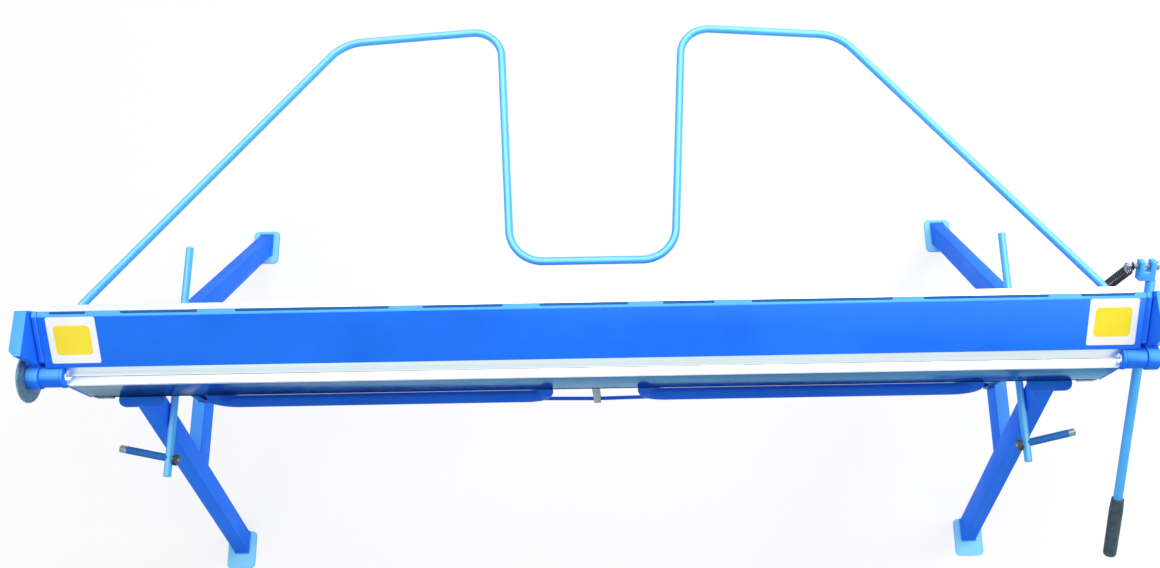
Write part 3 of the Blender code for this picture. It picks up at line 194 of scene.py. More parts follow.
class Finish:
    """A node material with the helpers that its recipe needs."""

    def __init__(self, name):
        self.material = bpy.data.materials.new(name)
        self.material.use_nodes = True
        self.nodes = self.material.node_tree.nodes
        self.links = self.material.node_tree.links
        self.nodes.clear()
        self.shader = self.nodes.new("ShaderNodeBsdfPrincipled")
        output = self.nodes.new("ShaderNodeOutputMaterial")
        self.links.new(self.shader.outputs["BSDF"], output.inputs["Surface"])
        self.place = self.nodes.new("ShaderNodeTexCoord")

    def stretched(self, scale):
        """Object coordinates, scaled by axis."""
        mapping = self.nodes.new("ShaderNodeMapping")
        mapping.inputs["Scale"].default_value = scale
        self.links.new(self.place.outputs["Object"], mapping.inputs["Vector"])
        return mapping.outputs["Vector"]

    def noise(self, scale, detail=3.0, stretch=(1, 1, 1), distortion=0.0):
        node = self.nodes.new("ShaderNodeTexNoise")
        node.inputs["Scale"].default_value = scale
        node.inputs["Detail"].default_value = detail
        node.inputs["Distortion"].default_value = distortion
        self.links.new(self.stretched(stretch), node.inputs["Vector"])
        return node.outputs["Fac"]

    def ramp(self, value, stops):
        node = self.nodes.new("ShaderNodeValToRGB")
        ramp = node.color_ramp
        while len(ramp.elements) < len(stops):
            ramp.elements.new(0.5)
        for element, (spot, shade) in zip(ramp.elements, stops):
            element.position = spot
            element.color = shade
        self.links.new(value, node.inputs["Fac"])
        return node.outputs["Color"]

    def range(self, value, low, high, from_low=0.3, from_high=0.7):
        node = self.nodes.new("ShaderNodeMapRange")
        node.inputs["From Min"].default_value = from_low
        node.inputs["From Max"].default_value = from_high
        node.inputs["To Min"].default_value = low
        node.inputs["To Max"].default_value = high
        self.links.new(value, node.inputs["Value"])
        return node.outputs["Result"]

    def mix(self, share, first, second, kind="MIX"):
        node = self.nodes.new("ShaderNodeMix")
        node.data_type = "RGBA"
        node.blend_type = kind
        for value, index in ((share, 0), (first, 6), (second, 7)):
            if isinstance(value, (tuple, float)):
                node.inputs[index].default_value = value
            else:
                self.links.new(value, node.inputs[index])
        return node.outputs[2]

    def facing_up(self, low, high):
        """How much a surface faces up, as the piece stands at rest."""
        split = self.nodes.new("ShaderNodeSeparateXYZ")
        self.links.new(self.place.outputs["Normal"], split.inputs["Vector"])
        return self.range(split.outputs["Z"], 0.0, 1.0, low, high)

    def height(self, low, high):
        split = self.nodes.new("ShaderNodeSeparateXYZ")
        self.links.new(self.place.outputs["Object"], split.inputs["Vector"])
        return self.range(split.outputs["Z"], 0.0, 1.0, low, high)

    def base(self, output):
        self.links.new(output, self.shader.inputs["Base Color"])

    def rough(self, output):
        self.links.new(output, self.shader.inputs["Roughness"])

    def bump(self, value, strength, distance):
        node = self.nodes.new("ShaderNodeBump")
        node.inputs["Strength"].default_value = strength
        node.inputs["Distance"].default_value = distance
        self.links.new(value, node.inputs["Height"])
        self.links.new(node.outputs["Normal"], self.shader.inputs["Normal"])

    def constants(self, metallic, specular=0.5, coat=0.0, coat_rough=0.1):
        self.shader.inputs["Metallic"].default_value = metallic
        self.shader.inputs["Specular IOR Level"].default_value = specular
        self.shader.inputs["Coat Weight"].default_value = coat
        self.shader.inputs["Coat Roughness"].default_value = coat_rough
        return self.material


def paint(name, deep, main, dust_and_top_light, top_light_share):
    """Satin powder paint: slight mottling, fine orange peel, fine pale dust specks, and painted top light:
    faces that point up are mixed in patches towards the pale colour, as if lit from above.
    """
    finish = Finish(name)
    cloud = finish.noise(5.0, 4.0)
    body = finish.ramp(cloud, ((0.30, deep), (0.62, main)))
    # Painted light: faces that point up turn towards the pale colour, as overhead light makes them look.
    upward = finish.facing_up(0.80, 0.99)
    top_light_mask = finish.nodes.new("ShaderNodeMath")
    top_light_mask.operation = "MULTIPLY"
    finish.links.new(upward, top_light_mask.inputs[0])
    patchy_top_light = finish.range(finish.noise(24.0, 5.0), top_light_share * 0.86, top_light_share)
    finish.links.new(patchy_top_light, top_light_mask.inputs[1])
    with_top_light = finish.mix(top_light_mask.outputs[0], body, dust_and_top_light)
    # Fine pale specks at random all over, as dust.
    specks = finish.range(finish.noise(900.0, 2.0), 0.0, 0.10, 0.66, 0.74)
    finish.base(finish.mix(specks, with_top_light, dust_and_top_light))
    finish.rough(finish.range(finish.noise(60.0, 4.0), 0.34, 0.50))
    finish.bump(finish.noise(1400.0, 2.0), 0.10, 0.0004)
    return finish.constants(0.0, specular=0.02)


def ground_steel(name, dark, light, rough_low, rough_high):
    """Bare steel with grinding marks along the machine's length."""
    finish = Finish(name)
    marks = finish.noise(1.0, 6.0, (3.0, 900.0, 900.0))
    shade = finish.ramp(marks, ((0.32, dark), (0.66, light)))
    stain = finish.range(finish.noise(7.0, 5.0, (0.5, 1.0, 1.0), 0.4), 0.0, 0.22, 0.50, 0.78)
    finish.base(finish.mix(stain, shade, dark))
    finish.rough(finish.range(finish.noise(1.0, 4.0, (4.0, 500.0, 500.0)), rough_low, rough_high))
    finish.bump(marks, 0.12, 0.0003)
    return finish.constants(1.0)


def beam_steel(name):
    """The folding beam's face: rolled bluish steel, darker towards its lower edge."""
    finish = Finish(name)
    low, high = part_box("fold_beam")
    grain = finish.noise(1.0, 6.0, (2.0, 260.0, 60.0))
    shade = finish.ramp(grain, ((0.30, colour(0.022, 0.120, 0.32)), (0.70, colour(0.040, 0.155, 0.38))))
    cloud = finish.range(finish.noise(2.4, 5.0, (1.0, 1.0, 3.0)), 0.0, 0.35, 0.42, 0.66)
    mottled = finish.mix(cloud, shade, colour(0.045, 0.150, 0.33))
    rise = finish.height(low.z, low.z + (high.z - low.z) * 0.22)
    finish.base(finish.mix(rise, colour(0.015, 0.055, 0.14), mottled))
    finish.rough(finish.range(finish.noise(30.0, 4.0), 0.14, 0.24))
    finish.bump(finish.noise(420.0, 3.0), 0.05, 0.0002)
    finish.shader.inputs["Specular Tint"].default_value = colour(0.60, 0.84, 0.91)
    return finish.constants(1.0)


def plain_metal(name, dark, light, metallic, rough_low, rough_high, scale=140.0):
    """Turned, plated or blackened steel and bronze."""
    finish = Finish(name)
    grain = finish.noise(scale, 5.0)
    finish.base(finish.ramp(grain, ((0.32, dark), (0.68, light))))
    finish.rough(finish.range(finish.noise(scale * 0.4, 4.0), rough_low, rough_high))
    finish.bump(finish.noise(scale * 6, 2.0), 0.10, 0.0003)
    return finish.constants(metallic)


def rubber(name):
    finish = Finish(name)
    wear = finish.noise(70.0, 5.0)
    stops = ((0.34, colour(0.022, 0.050, 0.066)), (0.70, colour(0.055, 0.098, 0.122)))
    finish.base(finish.ramp(wear, stops))
    finish.rough(finish.range(finish.noise(160.0, 4.0), 0.58, 0.74))
    finish.bump(finish.noise(1500.0, 2.0), 0.25, 0.0004)
    return finish.constants(0.0, specular=0.4)


def printed(name, dark, light):
    """A smooth plastic or printed sheet with slight unevenness."""
    finish = Finish(name)
    finish.base(finish.ramp(finish.noise(18.0, 4.0), ((0.30, dark), (0.66, light))))
    finish.rough(finish.range(finish.noise(90.0, 3.0), 0.34, 0.46))
    finish.bump(finish.noise(700.0, 2.0), 0.06, 0.0002)
    return finish.constants(0.0, specular=0.4)


# Each paint is given its deep and main colours, then its pale colour for dust specks and painted top light,
# then the share of that painted top light.
BLUE = paint(
    "blue_paint", colour(0.015, 0.160, 0.86), colour(0.021, 0.195, 0.97), colour(0.17, 0.60, 0.98), 0.62
)
# Painted shade: a darker copy of the blue paint with less painted top light, for the grab handles, the
# tension rod and the saddle plates, which lie in shadow.
SHADED_BLUE = paint(
    "shaded_blue_paint",
    colour(0.012, 0.105, 0.62),
    colour(0.018, 0.140, 0.76),
    colour(0.04, 0.25, 0.88),
    0.30,
)
# Painted shade: a much darker copy of the blue paint for the carrying pegs.
SHADED_PEG_BLUE = paint(
    "peg_blue_paint", colour(0.018, 0.110, 0.36), colour(0.030, 0.160, 0.48), colour(0.06, 0.26, 0.60), 0.30
)
# Painted light: a lighter copy of the blue paint with more painted top light, for the sheet support,
# carrying bars, lever, hub, fork and foot plates, which look lit from above.
LIT_BLUE = paint(
    "pale_blue_paint", colour(0.080, 0.42, 0.92), colour(0.105, 0.48, 0.97), colour(0.34, 0.80, 0.99), 0.75
)
SHADE_BLUE = paint(
    "shade_blue_paint",
    colour(0.012, 0.070, 0.26),
    colour(0.020, 0.100, 0.34),
    colour(0.04, 0.17, 0.46),
    0.40,
)
BARE_STEEL = ground_steel("bare_steel", colour(0.66, 0.79, 0.85), colour(0.80, 0.91, 0.96), 0.26, 0.40)
EDGE_STEEL = ground_steel("edge_steel", colour(0.80, 0.86, 0.89), colour(0.92, 0.96, 0.98), 0.28, 0.42)
BEAM_STEEL = beam_steel("beam_steel")
DARK_STEEL = plain_metal(
    "dark_steel", colour(0.016, 0.028, 0.030), colour(0.05, 0.075, 0.08), 0.6, 0.34, 0.5
)
GREY_STEEL = plain_metal("grey_steel", colour(0.10, 0.20, 0.24), colour(0.22, 0.36, 0.42), 0.6, 0.34, 0.48)
ZINC = plain_metal("zinc_plate", colour(0.16, 0.24, 0.28), colour(0.30, 0.40, 0.44), 0.85, 0.30, 0.44)
BRONZE = plain_metal("bronze", colour(0.46, 0.29, 0.12), colour(0.62, 0.42, 0.20), 1.0, 0.30, 0.42)
RUBBER = rubber("grip_rubber")
SPRING_STEEL = plain_metal(
    "spring_steel", colour(0.012, 0.018, 0.022), colour(0.035, 0.048, 0.056), 0.5, 0.3, 0.45
)
WHITE_SHEET = printed("white_sheet", colour(0.84, 0.87, 0.88), colour(0.90, 0.92, 0.92))
YELLOW_SHEET = printed("yellow_sheet", colour(0.86, 0.70, 0.015), colour(0.92, 0.76, 0.030))
MARK_INK = printed("mark_ink", colour(0.010, 0.012, 0.014), colour(0.022, 0.025, 0.028))

SLOT_FINISH = {
    "blue_paint": BLUE,
    "pale_blue_paint": LIT_BLUE,
    "bare_steel": BARE_STEEL,
    "dark_steel": DARK_STEEL,
    "grey_steel": GREY_STEEL,
    "bronze": BRONZE,
    "grip_rubber": RUBBER,
    "spring_steel": SPRING_STEEL,
}


# Mesh helpers
def add_object(name, mesh, materials):
    thing = bpy.data.objects.new(name, mesh)
    bpy.context.scene.collection.objects.link(thing)
    for material in materials:
        mesh.materials.append(material)
    return thing


def smooth(mesh):
    mesh.shade_smooth()
    mesh.set_sharp_from_angle(angle=SMOOTH_ANGLE)


def settle(piece, body, slot, *nodes):
    """Makes a piece ride on its body and hides the nodes that it stands for; the slot it is given is not
    used.
    """
    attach(piece, body)
    if nodes:
        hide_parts(*nodes)
    return piece


def body_of(node):
    for body, members in frame["record"]["behaviour"]["bodies"].items():
        if node in members:
            return body
    raise ValueError(node)


def rounded(node, width, slot, material, second=None, second_faces=None, segments=3):
    """A copy of a node with its edges rounded, as pressed, cut or cast edges are."""
    mesh = frame["nodes"][node].data.copy()
    mesh.materials.clear()
    piece = add_object(node + "_shape", mesh, [material] if second is None else [material, second])
    work = bmesh.new()
    work.from_mesh(mesh)
    bmesh.ops.remove_doubles(work, verts=work.verts, dist=MERGE)
    bmesh.ops.dissolve_limit(
        work, angle_limit=FLAT_ANGLE, verts=work.verts, edges=work.edges, use_dissolve_boundaries=False
    )
    for face in work.faces:
        face.material_index = int(bool(second_faces and second_faces(face.calc_center_median())))
    work.to_mesh(mesh)
    work.free()
    for edge in mesh.edges:
        edge.use_edge_sharp = False
    mesh.shade_smooth()
    bevel = piece.modifiers.new("edges", "BEVEL")
    bevel.width = width
    bevel.segments = segments
    bevel.limit_method = "ANGLE"
    bevel.angle_limit = EDGE_ANGLE
    bevel.use_clamp_overlap = False
    bevel.harden_normals = True
    bevel.miter_outer = "MITER_ARC"
    graph = bpy.context.evaluated_depsgraph_get()
    solid = piece.evaluated_get(graph)
    shaped = bpy.data.meshes.new_from_object(solid, preserve_all_data_layers=True, depsgraph=graph)
    piece.modifiers.clear()
    piece.data = shaped
    bpy.data.meshes.remove(mesh)
    return settle(piece, body_of(node), slot, node)


def start_frame(way):
    """Two directions square to a way, for the first ring of a swept tube."""
    up = Vector((0, 0, 1)) if abs(way.z) < 0.9 else Vector((0, 1, 0))
    across = way.cross(up).normalized()
    return across, across.cross(way).normalized()


def ring_frames(points):
    """A pair of directions at each point, turned as little as possible along the way."""
    ways = []
    for index in range(len(points)):
        before = points[max(index - 1, 0)]
        after = points[min(index + 1, len(points) - 1)]
        ways.append((after - before).normalized())
    across, up = start_frame(ways[0])
    frames = [(across, up)]
    for last, way in zip(ways, ways[1:]):
        turn = last.rotation_difference(way)
        across = turn @ across
        across = (across - way * across.dot(way)).normalized()
        frames.append((across, way.cross(across) * -1))
    return frames


def swept(name, stations, sides, materials, bands=None, closed=False):
    """A round bar through stations of (point, radius); bands give a material to each stretch."""
    points = [Vector(at) for at, _ in stations]
    frames = ring_frames(points)
    work = bmesh.new()
    rings = []
    for (point, (across, up)), (_, radius) in zip(zip(points, frames), stations):
        ring = []
        for step in range(sides):
            angle = math.tau * step / sides
            ring.append(work.verts.new(point + (across * math.cos(angle) + up * math.sin(angle)) * radius))
        rings.append(ring)
    pairs = list(zip(rings, rings[1:]))
    if closed:
        pairs.append((rings[-1], rings[0]))
    for index, (first, second) in enumerate(pairs):
        for step in range(sides):
            nxt = (step + 1) % sides
            face = work.faces.new((first[step], first[nxt], second[nxt], second[step]))
            face.material_index = bands[index] if bands else 0
    if not closed:
        for ring, band in ((rings[0], 0), (rings[-1], -1)):
            cap = work.faces.new(ring)
            cap.material_index = bands[band] if bands else 0
    bmesh.ops.recalc_face_normals(work, faces=work.faces)
    mesh = bpy.data.meshes.new(name)
    work.to_mesh(mesh)
    work.free()
    smooth(mesh)
    return add_object(name, mesh, materials)


def bent_route(corners):
    """A route through corners of (point, bend radius), with its bends as arcs."""
    route = [Vector(corners[0][0])]
    for (before, _), (corner, radius), (after, _) in zip(corners, corners[1:], corners[2:]):
        corner = Vector(corner)
        back = (Vector(before) - corner).normalized()
        ahead = (Vector(after) - corner).normalized()
        half = back.angle(ahead) / 2
        reach = radius / math.tan(half)
        centre = corner + (back + ahead).normalized() * (radius / math.sin(half))
        start = corner + back * reach - centre
        end = corner + ahead * reach - centre
        turn = start.angle(end)
        count = max(2, math.ceil(turn / ARC_STEP))
        for step in range(count + 1):
            share = step / count
            first = math.sin((1 - share) * turn) / math.sin(turn)
            second = math.sin(share * turn) / math.sin(turn)
            route.append(centre + start * first + end * second)
    route.append(Vector(corners[-1][0]))
    return route


def eased_bar(start, end, radius, edge=TIP_EDGE):
    """Stations of a straight bar with small chamfers at both ends."""
    start = Vector(start)
    end = Vector(end)
    way = (end - start).normalized()
    return [
        (start, radius - edge),
        (start + way * edge * 0.4, radius - edge * 0.3),
        (start + way * edge, radius),
        (end - way * edge, radius),
        (end - way * edge * 0.4, radius - edge * 0.3),
        (end, radius - edge),
    ]


def box_mesh(name, low, high, materials):
    """A slim bar between two corners."""
    work = bmesh.new()
    bmesh.ops.create_cube(work, size=1)
    size = Vector(high) - Vector(low)
    bmesh.ops.scale(work, vec=size, verts=work.verts)
    bmesh.ops.translate(work, vec=(Vector(high) + Vector(low)) / 2, verts=work.verts)
    mesh = bpy.data.meshes.new(name)
    work.to_mesh(mesh)
    work.free()
    return add_object(name, mesh, materials)


# Stand
def make_support():
    low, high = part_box("sheet_support")
    level = (low.z + high.z) / 2
    half = [((x, BEND_Y + y, level), radius) for x, y, radius in SUPPORT_ROUTE]
    other = [((-x, y, z), radius) for (x, y, z), radius in reversed(half)]
    route = bent_route(half + other)
    stations = [(point, SUPPORT_R) for point in route]
    tube = swept("rear_support_tube", stations, ROUND, [LIT_BLUE])
    settle(tube, "stand", "pale_blue_paint", "sheet_support")


def make_bar(name, side):
    """A carrying bar, and the peg across it with a bare tip."""
    node = "carry_bar_" + name
    low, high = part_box(node)
    centre = (low + high) / 2
    front = Vector((centre.x, low.y, centre.z))
    rear = Vector((centre.x, high.y, centre.z))
    stations = eased_bar(front, rear, BAR_R)
    bar = swept(node + "_round", stations, ROUND, [LIT_BLUE])
    settle(bar, "stand", "pale_blue_paint", node)
    make_peg(name, side, centre)


def make_peg(name, side, bar_centre):
    node = "carry_peg_" + name
    low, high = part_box(node)
    way = Vector((side * math.cos(PEG_TILT), math.sin(PEG_TILT), 0))
    tip_x, rear_x = (high.x, low.x) if side > 0 else (low.x, high.x)
    spine_x = bar_centre.x
    slack = PEG_R * math.sin(PEG_TILT)
    reach = (abs(tip_x - spine_x) - slack + TIP_EDGE * math.sin(PEG_TILT)) / math.cos(PEG_TILT)
    tip_y = high.y - (PEG_R - TIP_EDGE) * math.cos(PEG_TILT)
    root = Vector((spine_x, tip_y - way.y * reach, bar_centre.z))
    back = (abs(rear_x - spine_x) - STUD_R * math.sin(PEG_TILT)) / math.cos(PEG_TILT)
    stations = eased_bar(root, root + way * reach, PEG_R)
    stations[:2] = [
        (root - way * back, STUD_R - TIP_EDGE * 0.7),
        (root - way * (back - TIP_EDGE), STUD_R),
        (root, STUD_R),
    ]
    stations.insert(4, (root + way * (reach - BARE_TIP), PEG_R))
    peg = swept(node + "_round", stations, ROUND, [SHADED_PEG_BLUE, ZINC], bands=[1, 1, 0, 0, 1, 1, 1])
    settle(peg, "stand", "blue_paint", node)


def foot_outline(node, plate):
    """The leg's outline where it meets its foot plate, going round."""
    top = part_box(plate)[1].z
    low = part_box(node)[0].z
    verts = [vert.co for vert in frame["nodes"][node].data.vertices if vert.co.z < low + MERGE * 10]
    x_low = min(co.x for co in verts)
    x_high = max(co.x for co in verts)
    y_low = min(co.y for co in verts)
    y_high = max(co.y for co in verts)
    return [(x_low, y_low, top), (x_high, y_low, top), (x_high, y_high, top), (x_low, y_high, top)]


def weld(name, corners, body="stand", slot="blue_paint", material=None, closed=True):
    """A rippled weld bead along an outline."""
    corners = [Vector(corner) for corner in corners]
    pairs = list(zip(corners, corners[1:] + corners[:1])) if closed else list(zip(corners, corners[1:]))
    stations = []
    for start, end in pairs:
        count = max(2, round((end - start).length / WELD_STEP))
        for step in range(count):
            ripple = 1 + WELD_RIPPLE * math.sin(step * 2.1)
            stations.append((start.lerp(end, step / count), WELD_R * ripple))
    if not closed:
        stations.append((corners[-1], WELD_R))
    bead = swept(name, stations, 8, [material or BLUE], closed=closed)
    return settle(bead, body, slot)


def make_spring():
    """The counter spring: a hook round the strap's pin, the coil, and a hook round the lever's bolt."""
    low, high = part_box("clamp_spring")
    x = (low.x + high.x) / 2
    y = middle("spring_bolt").y
    bolt_z = high.z - HOOK_R - WIRE_R
    pin_z = low.z + HOOK_R + WIRE_R
    neck = HOOK_R + HOOK_NECK
    bottom = pin_z + neck
    top = bolt_z - neck
    points = hook(x, y, pin_z, bottom, 1)
    count = COIL_TURNS * COIL_STEPS
    for step in range(count + 1):
        angle = math.tau * step / COIL_STEPS
        points.append(Vector((
            x + COIL_R * math.sin(angle),
            y + COIL_R * math.cos(angle),
            bottom + (top - bottom) * step / count,
        )))
    points += reversed(hook(x, y, bolt_z, top, -1))
    stations = [(point, WIRE_R) for point in points]
    spring = swept("counter_spring", stations, 10, [SPRING_STEEL])
    settle(spring, "stand", "spring_steel", "clamp_spring")
    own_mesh(spring)


def hook(x, y, centre_z, coil_z, up):
    """The open hook at one end: most of a round, then the neck that runs to the coil."""
    points = []
    start = math.radians(100)
    sweep = math.radians(250)
    for step in range(25):
        angle = start + sweep * step / 24
        points.append(Vector((x, y + HOOK_R * math.sin(angle), centre_z + up * HOOK_R * math.cos(angle))))
    end = points[-1]
    coil_start = Vector((x, y + COIL_R, coil_z))
    for share in (0.35, 0.7):
        points.append(end.lerp(coil_start, share))
    return points


# Folding beam
def make_handle(name, side):
    node = "grab_handle_" + name
    low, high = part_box(node)
    y = (low.y + high.y) / 2
    near = low.x + HANDLE_R
    far = high.x - HANDLE_R
    level = low.z + HANDLE_R
    corners = [
        ((near, y, high.z), 0),
        ((near, y, level), HANDLE_BEND_R),
        ((far, y, level), HANDLE_BEND_R),
        ((far, y, high.z), 0),
    ]
    stations = [(point, HANDLE_R) for point in bent_route(corners)]
    settle(swept(node + "_round", stations, ROUND, [SHADED_BLUE]), "folding_beam", "blue_paint", node)


def make_rod():
    """The tension rod: level in its post, rising to the lugs, with a head at each end."""
    post_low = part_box("truss_post")[0]
    y = middle("truss_post").y
    z = post_low.z + ROD_UP_POST
    stations = []
    for side in (-1, 1):
        start = Vector((side * ROD_FLAT, y, z))
        spot = Vector((side * ROD_LUG_X, y, z + ROD_RISE))
        way = (spot - start).normalized()
        face = spot + way * ROD_LUG_LONG
        half = [
            (start, ROD_R),
            (spot, ROD_R),
            (face, ROD_R),
            (face + way * 0.0003, ROD_HEAD_R * 0.9),
            (face + way * 0.0012, ROD_HEAD_R),
            (face + way * (ROD_HEAD_LONG - 0.0016), ROD_HEAD_R),
            (face + way * (ROD_HEAD_LONG - 0.0006), ROD_HEAD_R * 0.88),
        ]
        stations += half[::-1] if side < 0 else half
    rod = swept("tension_rod", stations, FINE_ROUND, [SHADED_BLUE])
    settle(rod, "folding_beam", "blue_paint", "truss_rod")


def make_pin(name, node, radius, body, slot, material, sides=ROUND):
    """A straight round pin along X."""
    low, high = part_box(node)
    centre = (low + high) / 2
    stations = eased_bar((low.x, centre.y, centre.z), (high.x, centre.y, centre.z), radius)
    settle(swept(name, stations, sides, [material]), body, slot, node)


# Clamping lever
def lever_spot(along, aside=0.0):
    """A point on the lever's axis, measured from the shaft."""
    x = middle("clamp_lever").x
    way = Vector((0, -math.cos(LEVER_SLOPE), -math.sin(LEVER_SLOPE)))
    return Vector((x + aside, SHAFT.y, SHAFT.z)) + way * along


def make_lever():
    stations = eased_bar(lever_spot(-LEVER_REAR), lever_spot(LEVER_LONG), LEVER_R)
    arm = swept("lever_arm", stations, ROUND, [LIT_BLUE])
    settle(arm, "clamp_drive", "pale_blue_paint", "clamp_lever")
    x = middle("clamp_lever").x
    half = LEVER_OFF_SHAFT
    edge = TIP_EDGE
    profile = [
        (-half, SHAFT_R + edge * 0.3),
        (-half, HUB_R - edge),
        (-half + edge * 0.4, HUB_R - edge * 0.3),
        (-half + edge, HUB_R),
        (half - edge, HUB_R),
        (half - edge * 0.4, HUB_R - edge * 0.3),
        (half, HUB_R - edge),
        (half, SHAFT_R + edge * 0.3),
    ]
    stations = [(Vector((x + along, SHAFT.y, SHAFT.z)), radius) for along, radius in profile]
    hub = lathe("lever_hub", stations, (1, 0, 0), ROUND, [LIT_BLUE])
    settle(hub, "clamp_drive", "pale_blue_paint")
    make_grip()


def lathe(name, stations, way, sides, materials, bands=None):
    """A turned piece: rings about one straight axis, square to it, capped at both ends."""
    way = Vector(way).normalized()
    across, up = start_frame(way)
    work = bmesh.new()
    rings = []
    for point, radius in stations:
        ring = []
        for step in range(sides):
            angle = math.tau * step / sides
            ring.append(work.verts.new(point + (across * math.cos(angle) + up * math.sin(angle)) * radius))
        rings.append(ring)
    for index, (first, second) in enumerate(zip(rings, rings[1:])):
        for step in range(sides):
            nxt = (step + 1) % sides
            face = work.faces.new((first[step], first[nxt], second[nxt], second[step]))
            face.material_index = bands[index] if bands else 0
    for ring in (rings[0], rings[-1]):
        work.faces.new(ring)
    bmesh.ops.recalc_face_normals(work, faces=work.faces)
    mesh = bpy.data.meshes.new(name)
    work.to_mesh(mesh)
    work.free()
    smooth(mesh)
    return add_object(name, mesh, materials)


def make_grip():
    """The ribbed sleeve on the lever's end, slightly thicker towards its tip."""
    profile = [(0.0, GRIP_THIN_R - 0.0016), (0.0006, GRIP_THIN_R - 0.0004), (0.002, GRIP_THIN_R)]
    first = GRIP_EDGE
    last = GRIP_LONG - GRIP_EDGE
    steps = GRIP_RIBS * 4
    for step in range(steps + 1):
        share = step / steps
        swell = GRIP_THIN_R + (GRIP_R - GRIP_THIN_R) * min(1.0, share * 6)
        swell -= (GRIP_R - GRIP_THIN_R) * share * 0.5
        rib = GRIP_RIB_DEEP * (0.5 - 0.5 * math.cos(math.tau * step / 4))
        profile.append((first + (last - first) * share, swell - rib))
    profile += [
        (GRIP_LONG - 0.0022, GRIP_THIN_R - 0.0002),
        (GRIP_LONG - 0.0008, GRIP_TIP_R + 0.0008),
        (GRIP_LONG, GRIP_TIP_R),
    ]
    stations = [(lever_spot(GRIP_FROM + along), radius) for along, radius in profile]
    way = lever_spot(1) - lever_spot(0)
    grip = lathe("lever_sleeve", stations, way, ROUND, [RUBBER])
    settle(grip, "clamp_drive", "grip_rubber", "lever_grip")


# Label plates and angle scale
def panel_frame(x):
    """A place on the sloped panel: its middle, and the directions along and up it."""
    along = PANEL_LONG / 2
    spot = Vector((
        x,
        BEND_Y + PANEL_FOOT_Y + along * math.cos(PANEL_SLOPE),
        PANEL_FOOT_Z + along * math.sin(PANEL_SLOPE),
    ))
    up = Vector((0, math.cos(PANEL_SLOPE), math.sin(PANEL_SLOPE)))
    out = Vector((0, -math.sin(PANEL_SLOPE), math.cos(PANEL_SLOPE)))
    return spot, up, out


def sheet_on_panel(name, x, wide, high, lift, thick, corner, material, shift=0.0):
    """A thin sheet with round corners lying on the panel."""
    spot, up, out = panel_frame(x)
    across = Vector((1, 0, 0))
    outline = []
    for quarter in range(4):
        sign_x = 1 if quarter in (0, 3) else -1
        sign_y = 1 if quarter in (0, 1) else -1
        for step in range(9):
            angle = math.pi / 2 * (quarter + step / 8)
            px = sign_x * (wide / 2 - corner) + corner * math.cos(angle)
            py = sign_y * (high / 2 - corner) + corner * math.sin(angle)
            outline.append((px, py + shift))
    work = bmesh.new()
    rings = []
    for level, draw in ((lift, 0.0), (lift + thick * 0.6, 0.0), (lift + thick, thick * 0.4)):
        ring = []
        for px, py in outline:
            length = math.hypot(px, py - shift)
            keep = 1 - draw / length
            place = across * px * keep + up * ((py - shift) * keep + shift)
            ring.append(work.verts.new(spot + place + out * level))
        rings.append(ring)
    for first, second in zip(rings, rings[1:]):
        for index in range(len(first)):
            nxt = (index + 1) % len(first)
            work.faces.new((first[index], first[nxt], second[nxt], second[index]))
    work.faces.new(rings[0])
    work.faces.new(rings[-1])
    bmesh.ops.recalc_face_normals(work, faces=work.faces)
    mesh = bpy.data.meshes.new(name)
    work.to_mesh(mesh)
    work.free()
    smooth(mesh)
    return settle(add_object(name, mesh, [material]), "clamping_beam", "bare_steel")


def make_plates():
    for name, x in (("left", PLATE_LEFT_X), ("right", PLATE_RIGHT_X)):
        sheet_on_panel(
            "label_plate_" + name, x, PLATE_SIZE, PLATE_HIGH, 0.0, PLATE_T, PLATE_CORNER_R, WHITE_SHEET,
            shift=PLATE_SHIFT,
        )
        sheet_on_panel(
            "label_field_" + name, x, FIELD_WIDE, FIELD_HIGH, PLATE_T, FIELD_T, FIELD_CORNER_R, YELLOW_SHEET,
            shift=PLATE_SHIFT,
        )


def make_stops():
    """A slim dark bar in each opening of the folded top edge: painted shadow where one looks into the beam.
    """
    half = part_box("clamp_beam")[1].x
    for index, (first, last) in enumerate(NOTCH_SHADOW_SHARES):
        low = (first * half, BEND_Y + NOTCH_SHADOW_FRONT_Y, NOTCH_SHADOW_LOW_Z)
        high = (last * half, BEND_Y + NOTCH_SHADOW_REAR_Y, NOTCH_SHADOW_HIGH_Z)
        shadow_bar = box_mesh("notch_shadow_%d" % index, low, high, [SHADE_BLUE])
        work = bmesh.new()
        work.from_mesh(shadow_bar.data)
        bmesh.ops.bevel(work, geom=work.edges, offset=NOTCH_SHADOW_EDGE, segments=3, affect="EDGES", profile=0.5)
        work.to_mesh(shadow_bar.data)
        work.free()
        smooth(shadow_bar.data)
        settle(shadow_bar, "clamping_beam", "blue_paint")


